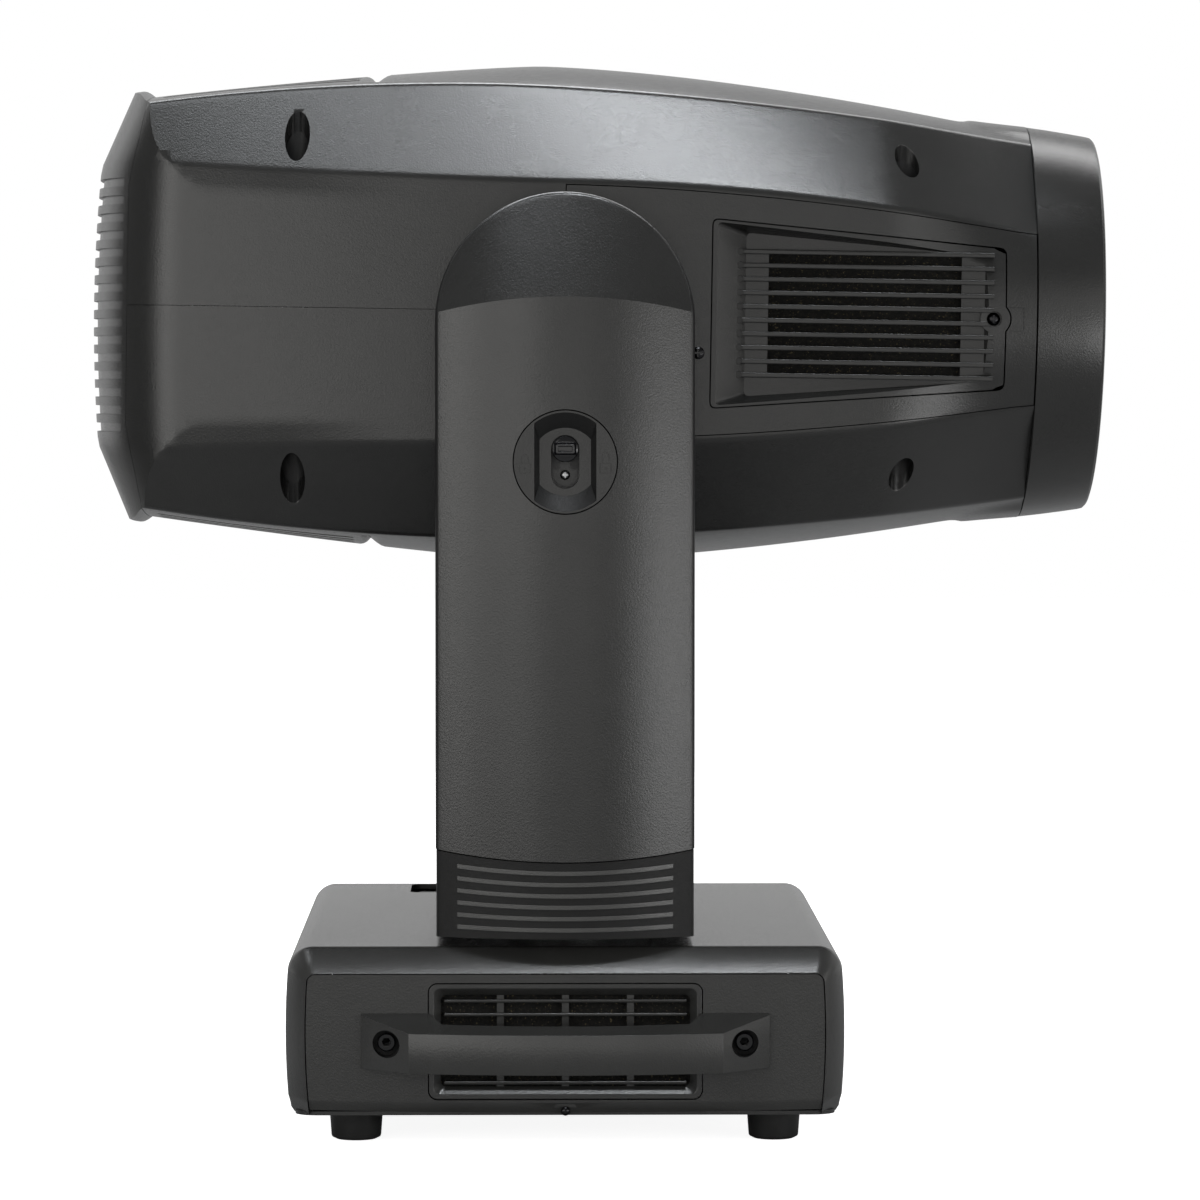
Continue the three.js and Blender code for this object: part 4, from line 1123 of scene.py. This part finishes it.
def head_quarter(x, inset, proud):
    """A quarter of the head's section, from its top centre to its widest place, as (y, v) points."""
    top = crown(x) + proud - inset
    edge = facet_top(x) + (-0.5 * inset, proud - inset)
    foot = facet_foot(x) - (inset, 0.4 * inset)
    wall = mix(side_half(x), BEZEL_R, round_share(x)) - inset
    share = 1 - FILLET / edge[0]
    ys = np.linspace(0, share, 16)
    roof = np.stack([edge[0] * ys, top - (top - edge[1]) * ys ** 2], 1)
    first = corner(roof[-1], edge, towards(edge, foot, FILLET))
    high = towards(edge, foot, FILLET)
    low = towards(foot, edge, FILLET)
    facet = high + (low - high) * np.linspace(0, 1, 14)[:, None]
    crease = CREASE_SHARE * foot[1]
    vs = np.concatenate([np.linspace(foot[1] - FILLET, crease, 4), np.linspace(crease, 0, 15)[1:]])
    lean = fold(x) * np.maximum(vs - crease, 0) / (foot[1] - crease)
    side = np.stack([wall + (foot[0] + fold(x) - wall) * (vs / foot[1]) ** 2 - lean, vs], 1)
    second = corner(low, foot, side[0])
    return np.concatenate([roof, first[1:], facet[1:], second[1:], side[1:]])


def head_ring(x, inset=0, proud=0):
    """The head's whole section: the faceted body, grown out to the round collar except on its facets."""
    points = head_quarter(x, inset, proud)
    reach = np.hypot(points[:, 0], points[:, 1])
    ring = collar(x) - inset
    if x < COLLAR_START_X:
        grown = np.maximum(reach, ring)
    else:
        soft = 5 * (1 - round_share(x))
        grown = 0.5 * (reach + ring + np.sqrt((reach - ring) ** 2 + soft ** 2))
    foot = facet_foot(x)[1]
    above = smoothstep((points[:, 0] / facet_top(x)[0] - 0.55) / 0.4)
    below = smoothstep((points[:, 1] / foot - 0.6) / 0.35)
    flat = np.where(points[:, 1] > foot, above, below)
    points = points * (mix(grown, reach, flat) / reach)[:, None]
    right = np.concatenate([points, points[-2::-1] * (1, -1)])
    left = right[-2:0:-1] * (-1, 1)
    ring = np.concatenate([right, left])
    return np.column_stack([np.full(len(ring), x), ring])


def rear_limit(inset):
    """Everything ahead of the rear's skin, a super-ellipse in plan that leans in at top and bottom."""
    turns = np.linspace(0, QUARTER, 41)
    rings = []
    for v in (*np.linspace(-150, -84, 10), *np.linspace(-78, 78, 21), *np.linspace(84, 150, 10)):
        high = abs(v) / REAR_FLAT_V
        lean = 3.6 * high ** 2 if high < 1 else 3.6 + (high - 1) * REAR_FLAT_V * REAR_LEAN
        depth = REAR - REAR_START - lean - inset
        xs = -REAR_START - depth * np.sin(turns) ** (2 / REAR_POWER)
        ys = (np.array([side_half(x) for x in xs]) + 0.02 - inset) * np.cos(turns) ** (2 / REAR_POWER)
        ahead = [(FAR, FAR), (0, FAR), (-REAR_START + 1, side_half(-REAR_START) + 3)]
        right = [(x, -y) for x, y in (*ahead, *zip(xs, ys))]
        left = [(x, -y) for x, y in reversed(right[:-1])]
        rings.append(on_plane(right + left, "z", v))
    return loft("rear_limit", rings)


def head_body(name, inset=0, step=7):
    stations = [*np.arange(-300, 205, step), *np.arange(205, HEAD_FRONT - 2, step / 2), HEAD_FRONT]
    if inset:
        stations.append(HEAD_FRONT + 1)
    body = loft(name, [head_ring(x, inset) for x in stations])
    return limit(body, [rear_limit(inset)])


def cap_lip(x):
    """How far the rear cap's rounded lip stands above the covers."""
    past = min(max(LIP_CREST_X - x, 0), LIP_ROUND)
    fall = LIP_ROUND - math.sqrt(LIP_ROUND ** 2 - past ** 2)
    return CAP_PROUD * smoothstep((-245 - x) / 7) - fall


def cap_body():
    """The rear cap's solid outside, with its lip standing above the covers."""
    stations = np.arange(-290, -236, 1)
    return limit(loft("rear_cap_skin", [head_ring(x, 0, cap_lip(x)) for x in stations]), [rear_limit(0)])


def seam_height(x):
    """Height of the joint between the covers and the side panel."""
    return 73.6 - 24.1 * (max(x, 0) / HEAD_FRONT) ** 1.75


def seam_prism(grow):
    xs = np.linspace(0, HEAD_FRONT, 24)
    top = [(max(x - grow, -grow), seam_height(x) + grow) for x in xs]
    top[-1] = (HEAD_FRONT + 5, top[-1][1])
    outline = [(x, -v) for x, v in top] + top[::-1]
    return prism("seam", outline, "y", -FAR, FAR)


def cap_prism(shift):
    """The room of the rear cap, behind a joint that leans forward at the top and the bottom."""
    upper = [(-FAR, 160), (shift - 244, 160), (shift - 246, 118), (shift + SEAM_X, 70)]
    return prism("cap", upper + [(x, -v) for x, v in reversed(upper)], "y", -FAR, FAR)


def head_piece(obj, finish, slot, nodes=(), smooth=30):
    return dress(obj, "head", finish, slot, nodes, smooth, in_head=True)


# ---------------------------------------------------------------- head: covers
SEAM_GAP = 0.3
CAP_GAP = 0.1
WELLS = ((-157, 118, 101), (200, 100.7, 94))
WELL_R = 7.3
GROOVE_X = -113.2
VENT_SLOT_X = (-238, -122)
VENT_SLOTS = 13
VENT_PITCH = 13.4


def head_shell():
    shell = head_body("shell")
    return carve(shell, [head_body("inside", WALL + 2.5, 20), disc("hub", "y", 0, 0, 20, -FAR, FAR, 96)])


def well_cutters():
    """Upright bores through the facets, down to the screws that hold the covers."""
    return [disc("well", "z", x, sign * y, WELL_R, v - 22, 200) for x, y, v in WELLS for _, sign in SIDES]


def well_sleeves(tag, up):
    """The closed bottom of each bore and its screw, in the top cover (up = 1) or the bottom one (-1)."""
    within = head_body("within", 0.3)
    for i, (x, y, v) in enumerate(WELLS):
        for side, sign in SIDES:
            name = f"cover_well_{tag}_{i + 1}{side[0]}"
            cup = lathe(name, [(0, v - 20), (WELL_R, v - 20), (WELL_R, v + 30), (WELL_R + 1.5, v + 30),
                               (WELL_R + 1.5, v - 22), (0, v - 22)], 48)
            move(cup, x, sign * y)
            body = limit(cup, [within], spare=True)
            if up < 0:
                body.data.transform(Matrix.Diagonal((1, 1, -1, 1)))
                body.data.flip_normals()
            # painted shade: the sleeves take the near-black skirt finish, which darkens the inside of the
            # bores
            head_piece(body, SKIRT_AND_SHADE, "skirt")
            place = (x, sign * y, up * (v - 19))
            star_screw(name + "_screw", place, (0, 0, up), 3.2, "head", BLACK_STEEL, in_head=True)
    discard(within)


def groove_cutter():
    """The notch between the rear vents and the main cover."""
    profile = ((-9, 5), (-6.4, 0), (-4.6, -0.5), (-3, -1.5), (-0.7, -4.2), (0, -4.3), (3.6, -1.8), (6, -0.5),
               (8.2, 0), (11, 5))
    edge_y, edge_v = facet_top(GROOVE_X)
    drops = [(GROOVE_X + x, crown(GROOVE_X + x), drop) for x, drop in profile]
    return loft("groove", [[(x, y, mix(top, edge_v, (y / edge_y) ** 2) + drop) for x, top, drop in drops]
                           for y in np.linspace(-95, 95, 21)])


def vent_slots():
    """The slots through a rear vent, which leave the bars between them."""
    rows = [VENT_PITCH * (i - (VENT_SLOTS - 1) / 2) for i in range(VENT_SLOTS)]
    return [prism("slot", rounded(*VENT_SLOT_X, y - 2.8, y + 2.8, 2.7), "z", 90, 200) for y in rows]


def vent_room(shrink):
    half = VENT_HALF_Y - shrink
    return block("vent_room", VENT_REAR, VENT_FRONT - shrink, -half, half, 95, 200)


def top_cover(shell):
    top = copy_of(shell, "head_top_shell")
    carve(top, [seam_prism(SEAM_GAP), cap_prism(CAP_GAP), vent_room(0)])
    limit(top, [block("upper", -FAR, FAR, -FAR, FAR, SEAM_GAP / 2, FAR)])
    return carve(top, well_cutters() + [groove_cutter()])


def top_vent(shell):
    vent = copy_of(shell, "top_vent_slats")
    limit(vent, [vent_room(0.6)])
    carve(vent, [cap_prism(CAP_GAP)])
    return carve(vent, vent_slots() + [groove_cutter()])


def side_panels(shell):
    panel = copy_of(shell, "panel")
    limit(panel, [seam_prism(-SEAM_GAP)])
    limit(panel, [block("near", 0, HEAD_FRONT - 0.5, -FAR, -60, -FAR, FAR)])
    carve(panel, [prism("bay", grille_bay(0.8), "y", -FAR, 0), latch_lines()])
    for side, sign in reversed(SIDES):
        skin = for_side(panel, "side_panel_skin_" + side, sign)
        head_piece(skin, COVER, "cover", ["head_side_panel_" + side])
    discard(panel)


def covers():
    shell = head_shell()
    top = top_cover(shell)
    bottom = mirrored(top, "head_bottom_shell", "z")
    vent = top_vent(shell)
    lower_vent = mirrored(vent, "bottom_vent_slats", "z")
    head_piece(top, COVER, "cover", ["head_top_cover"])
    head_piece(bottom, COVER, "cover", ["head_bottom_cover"])
    head_piece(vent, COVER, "cover", ["top_vent"])
    head_piece(lower_vent, COVER, "cover", ["bottom_vent"])
    well_sleeves("top", 1)
    well_sleeves("bottom", -1)
    side_panels(shell)
    discard(shell)


# ---------------------------------------------------------------- head: side air grilles
BAY_REAR_X = 86
BAY_FRONT_X = 258
BAY_FLOOR_Y = 116.5
BAY_SCREW_X = 251.4
WINDOW_X = (119.3, 232.2)
WINDOW_V = (-34.5, 36)
SLAT_X = (98, 251)
SLATS = 10
SLAT_PITCH = 8
SLAT_MID = 1


def fillet(points, radius, steps=5):
    """Rounds the corners of an outline."""
    done = []
    for i, point in enumerate(points):
        before = np.subtract(points[i - 1], point)
        after = np.subtract(points[(i + 1) % len(points)], point)
        reach = min(radius, np.linalg.norm(before) / 3, np.linalg.norm(after) / 3)
        start = np.add(point, before * reach / np.linalg.norm(before))
        end = np.add(point, after * reach / np.linalg.norm(after))
        for t in np.linspace(0, 1, steps):
            done.append(tuple((1 - t) ** 2 * start + 2 * t * (1 - t) * np.array(point) + t ** 2 * end))
    return done


def bay_corners(rear, front, rear_half, front_half):
    """Corners of a side grille, which is wider at the rear and a hair higher above than below."""
    return [(rear, -rear_half), (front, -front_half), (front, front_half), (rear, rear_half + 0.5)]


def grille_bay(grow):
    """Outline of a side grille, with a round boss for its screw at the front."""
    corners = bay_corners(BAY_REAR_X - grow, BAY_FRONT_X + grow, 54.5 + grow, 40.8 + grow)
    reach = 9.5 + grow
    rise = math.acos((BAY_FRONT_X + grow - BAY_SCREW_X) / reach)
    boss = arc(BAY_SCREW_X, 0, reach, -rise, rise, 12)
    return fillet(corners[:2] + boss + corners[2:], 3.5 + grow)


def latch_lines():
    """The fine outline of a moulded latch ahead of the grille's screw."""
    line = 0.35
    deep = 0.6 - BEZEL_R
    outer = rounded(BAY_FRONT_X, BAY_FRONT_X + 11, -6.9, 6.9, 0.8)
    inner = rounded(BAY_FRONT_X - 5, BAY_FRONT_X + 11 - line, -6.9 + line, 6.9 - line, 0.5)
    frame_lines = prism("latch", outer, "y", -FAR, deep)
    return carve(frame_lines, [prism("in", inner, "y", -FAR - 1, 0)])


def side_grille():
    """A sunk frame with its slats, a column of notches at their rear ends and a seat for its screw."""
    frame_body = head_body("grille", 0.5, 14)
    limit(frame_body, [prism("bay", grille_bay(0), "y", -FAR, -100)])
    carve(frame_body, [block("deep", -FAR, FAR, 3.5 - BAY_FLOOR_Y, 0, -FAR, FAR)])
    wide = fillet(bay_corners(BAY_REAR_X + 0.9, BAY_FRONT_X - 0.9, 53.6, 39.9), 3)
    tight = fillet(bay_corners(BAY_REAR_X + 20, BAY_FRONT_X - 12, 47.5, 36.6), 3)
    levels = ((wide, -side_half(BAY_REAR_X) - 1), (tight, -BAY_FLOOR_Y), (tight, 0.01 - BAY_FLOOR_Y))
    recess = loft("recess", [on_plane(outline, "y", y) for outline, y in levels])
    window = prism("window", rounded(*WINDOW_X, *WINDOW_V, 1), "y", -FAR, 0)
    carve(recess, [disc("boss", "y", BAY_SCREW_X, 0, 8, -FAR, 0)])
    carve(frame_body, [recess, window])
    rows = [SLAT_MID + SLAT_PITCH * (SLATS / 2 - 0.5 - i) for i in range(SLATS)]
    sections = [rounded(-BAY_FLOOR_Y - 4.2, 1.5 - BAY_FLOOR_Y, v - 1.4, v + 1.4, 0.5, 4) for v in rows]
    join(frame_body, [prism("slat", section, "x", *SLAT_X) for section in sections])
    notches = [disc("notch", "y", SLAT_X[0] + 4.5, v, 2.1, -BAY_FLOOR_Y - 5, 2 - BAY_FLOOR_Y, 20)
               for v in rows]
    notches.append(disc("screw_seat", "y", BAY_SCREW_X, 0, 4.6, -FAR, -side_half(BAY_SCREW_X) + 5))
    return carve(frame_body, notches)


def side_grilles():
    body = side_grille()
    for side, sign in SIDES:
        head_piece(for_side(body, "grille_" + side, sign), COVER, "cover", ["side_grille_" + side])
        near, far = sorted((sign * 108, sign * 111.5))
        pad = block("side_filter_" + side, WINDOW_X[0] - 2.3, WINDOW_X[1] + 1.8, near, far, WINDOW_V[0] - 1.5,
                    WINDOW_V[1] + 2)
        head_piece(pad, FOAM, "foam")
        seat = (BAY_SCREW_X, sign * (side_half(BAY_SCREW_X) - 4), 0)
        star_screw("grille_screw_" + side, seat, (0, sign, 0), 3.9, "head", BLACK_STEEL, in_head=True)
    discard(body)


# ---------------------------------------------------------------- head: rear cap, bezel and lens
LOUVRES = 14
LOUVRE_PITCH = 10.3


def rear_cap():
    """The cap behind the covers, with shallow grooves that leave its louvres."""
    cap = cap_body()
    carve(cap, [head_body("inside", WALL, 20)])
    limit(cap, [cap_prism(-CAP_GAP)])
    rows = [LOUVRE_PITCH * (LOUVRES / 2 - i) for i in range(LOUVRES + 1)]
    band, *others = [block("groove", -300, SEAM_X - 3, -FAR, FAR, v - 2.6, v + 2.6) for v in rows]
    join(band, others)
    carve(band, [rear_limit(2.3)])
    carve(cap, [band])
    head_piece(cap, COVER, "cover", ["rear_cap"])


def bezel():
    """The turned ring round the lens."""
    joint = BEZEL_LOW[0]
    nose = BEZEL_HIGH[0]
    lip = BEZEL_HIGH[1]
    mouth = [(93, 285), (94, 300), (95, nose - 3), (96, nose - 1), (98, nose - 0.2), (100, nose)]
    outside = [(108.5, nose), (110.6, nose - 0.6), (112, nose - 2), (112.6, nose - 4.4), (114.3, nose - 15),
               (116.2, nose - 28), (lip - 0.25, joint + 0.3), (lip - 0.9, joint)]
    flange = [(109, joint), (109, 281), (88, 281), (88, 284), (93, 284.4)]
    profile = mouth + outside + flange
    ring = along_beam(lathe("bezel_ring", profile, 144, closed=True))
    head_piece(ring, COVER, "cover", ["front_bezel"], 24)


def lens():
    """The domed front lens and the black tube behind it."""
    low, high = head_box("front_lens")
    radius = high[1]
    rim = low[0]
    crest = high[0]
    edge = rim + 5.4
    profile = [(0, rim), (radius - 0.6, rim), (radius, rim + 0.6), (radius, edge - 1), (radius - 1, edge)]
    for share in np.linspace(0.92, 0, 14):
        profile.append((radius * share, edge + (crest - edge) * (1 - share ** 2)))
    glass_body = along_beam(lathe("lens_front", profile, 128))
    head_piece(glass_body, LENS, "glass", ["front_lens"])
    profile = [(90, 280), (90, 230), (52, 170), (50, 170), (88, 231), (88, 280)]
    tube = along_beam(lathe("lens_tube", profile, 96, closed=True))
    head_piece(tube, BLACK_AND_SHADE, "skirt")


def build_head():
    covers()
    side_grilles()
    rear_cap()
    bezel()
    lens()
    for side, sign in SIDES:
        place = (78.2, sign * (side_half(78) - 0.6), -22.8)
        star_screw("side_screw_" + side, place, (0, sign, 0), 4, "head", BLACK_STEEL, in_head=True)


# ---------------------------------------------------------------- inner works that stay as the frame has them
INNER = (
    (SHEET, ("yoke_frame", "head_chassis")),
    (BLACK_AND_SHADE, ("tilt_motor", "pan_motor", "cooling_fan")),
    (RUBBER, ("tilt_belt", "pan_belt")),
    (STEEL, ("color_wheel", "gobo_wheel", "power_supply", "pan_bearing")),
    (ALLOY, ("pan_spindle", "tilt_motor_pulley", "pan_motor_pulley", "light_engine", "zoom_carriage",
             "focus_carriage")),
)


def paint_inner():
    """Gives the inner works, which keep the frame's own meshes, their materials."""
    for finish, names in INNER:
        for name in names:
            mesh = frame["nodes"][name].data
            mesh.materials.clear()
            mesh.materials.append(finish)


# ---------------------------------------------------------------- stage, light and camera
FLOOR_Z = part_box("foot_front_right")[0].z


def camera_only(tree, seen, unseen):
    """A colour for what the camera sees directly, and another for what only lights the object."""
    path = tree.nodes.new("ShaderNodeLightPath")
    mixed = tree.nodes.new("ShaderNodeMix")
    mixed.data_type = "RGBA"
    mixed.inputs["A"].default_value = (*unseen, 1)
    mixed.inputs["B"].default_value = (*seen, 1)
    tree.links.new(path.outputs["Is Camera Ray"], mixed.inputs["Factor"])
    return mixed.outputs["Result"]


def stage():
    """A plain pale floor and a pale world."""
    reach = 8
    floor = keep("floor", bpy.data.meshes.new("floor"))
    floor.data.from_pydata([(-reach, -reach, FLOOR_Z), (reach, -reach, FLOOR_Z), (reach, reach, FLOOR_Z),
                            (-reach, reach, FLOOR_Z)], [], [(0, 1, 2, 3)])
    made, tree, bsdf = nodes_of("floor")
    tree.links.new(camera_only(tree, (0.9, 0.9, 0.9), (0.4, 0.4, 0.4)), bsdf.inputs["Base Color"])
    tree.links.new(camera_only(tree, (0.9, 0.9, 0.9), (0, 0, 0)), bsdf.inputs["Emission Color"])
    bsdf.inputs["Emission Strength"].default_value = 1
    bsdf.inputs["Roughness"].default_value = 1
    bsdf.inputs["Specular IOR Level"].default_value = 0
    floor.data.materials.append(made)
    world = bpy.data.worlds.new("studio")
    bpy.context.scene.world = world
    world.use_nodes = True
    tree = world.node_tree
    tree.links.new(camera_only(tree, (1, 1, 1), (0.22, 0.22, 0.22)), tree.nodes["Background"].inputs["Color"])


def softbox(name, place, target, size, power, colour=(1, 1, 1)):
    data = bpy.data.lights.new(name, "AREA")
    data.shape = "RECTANGLE"
    data.size, data.size_y = size
    data.energy = power
    data.color = colour
    lamp = bpy.data.objects.new(name, data)
    bpy.context.scene.collection.objects.link(lamp)
    lamp.location = place
    lamp.rotation_euler = (Vector(target) - Vector(place)).to_track_quat("-Z", "Y").to_euler()
    lamp.visible_camera = False


def lights():
    middle = (0, 0, 0.35)
    warm = (1, 0.99, 0.965)
    cool = (0.93, 0.965, 1)
    softbox("top_box", (0.2, -0.45, 1.46), (0.08, -0.12, 0.56), (0.42, 0.16), 5.8, cool)
    softbox("top_left_box", (-0.1, -0.63, 1.44), (-0.08, -0.12, 0.56), (0.34, 0.16), 1.5, cool)
    softbox("far_left_box", (-0.42, -0.64, 1.47), (-0.25, -0.12, 0.56), (0.36, 0.2), 1.4, cool)
    softbox("overhead_box", (-0.25, 0.35, 1.5), (0, -0.05, 0.5), (1.1, 0.14), 6, cool)
    softbox("side_right_box", (2.2, -0.35, 0.6), middle, (0.8, 1.4), 4, warm)
    softbox("left_box", (-1.2, -1.85, 0.5), middle, (1.5, 1.5), 12, warm)
    softbox("left_rim_box", (-1.7, -1.45, 0.5), middle, (0.5, 1.5), 4, warm)
    softbox("right_box", (1.45, -1.65, 0.45), middle, (1.4, 1.4), 5.8, warm)
    softbox("fill_box", (0.0, -2.4, 0.2), middle, (1.6, 1.2), 6.4, warm)
    softbox("low_right_box", (1.2, -1.2, 0.12), (0.25, 0, 0.35), (0.8, 0.5), 4.2)
    softbox("back_wall", (0, 2.6, 1.0), middle, (4, 2.6), 14)
    softbox("back_right", (2.1, 1.6, 1.0), middle, (1.5, 2.4), 12)
    softbox("back_left", (-2.1, 1.6, 1.0), middle, (1.5, 2.4), 9)
    softbox("back_top", (0.2, 1.3, 2.3), middle, (2.6, 0.8), 26)


CAMERA_AT = (-0.0234, -3.334, 0.4125)
CAMERA_YAW = math.radians(0.79168)
CAMERA_PITCH = math.radians(2.17621)
FOCAL_LENGTH = 165


def camera():
    data = bpy.data.cameras.new("camera")
    data.lens = FOCAL_LENGTH
    data.sensor_width = 36
    view = bpy.data.objects.new("camera", data)
    bpy.context.scene.collection.objects.link(view)
    view.location = CAMERA_AT
    level = math.cos(CAMERA_PITCH)
    ahead = Vector((math.sin(CAMERA_YAW) * level, math.cos(CAMERA_YAW) * level, -math.sin(CAMERA_PITCH)))
    view.rotation_euler = ahead.to_track_quat("-Z", "Y").to_euler()
    bpy.context.scene.camera = view


camera()
build_base()
build_panels()
build_yoke()
build_head()
paint_inner()
stage()
lights()
bpy.context.scene.view_settings.view_transform = "Standard"
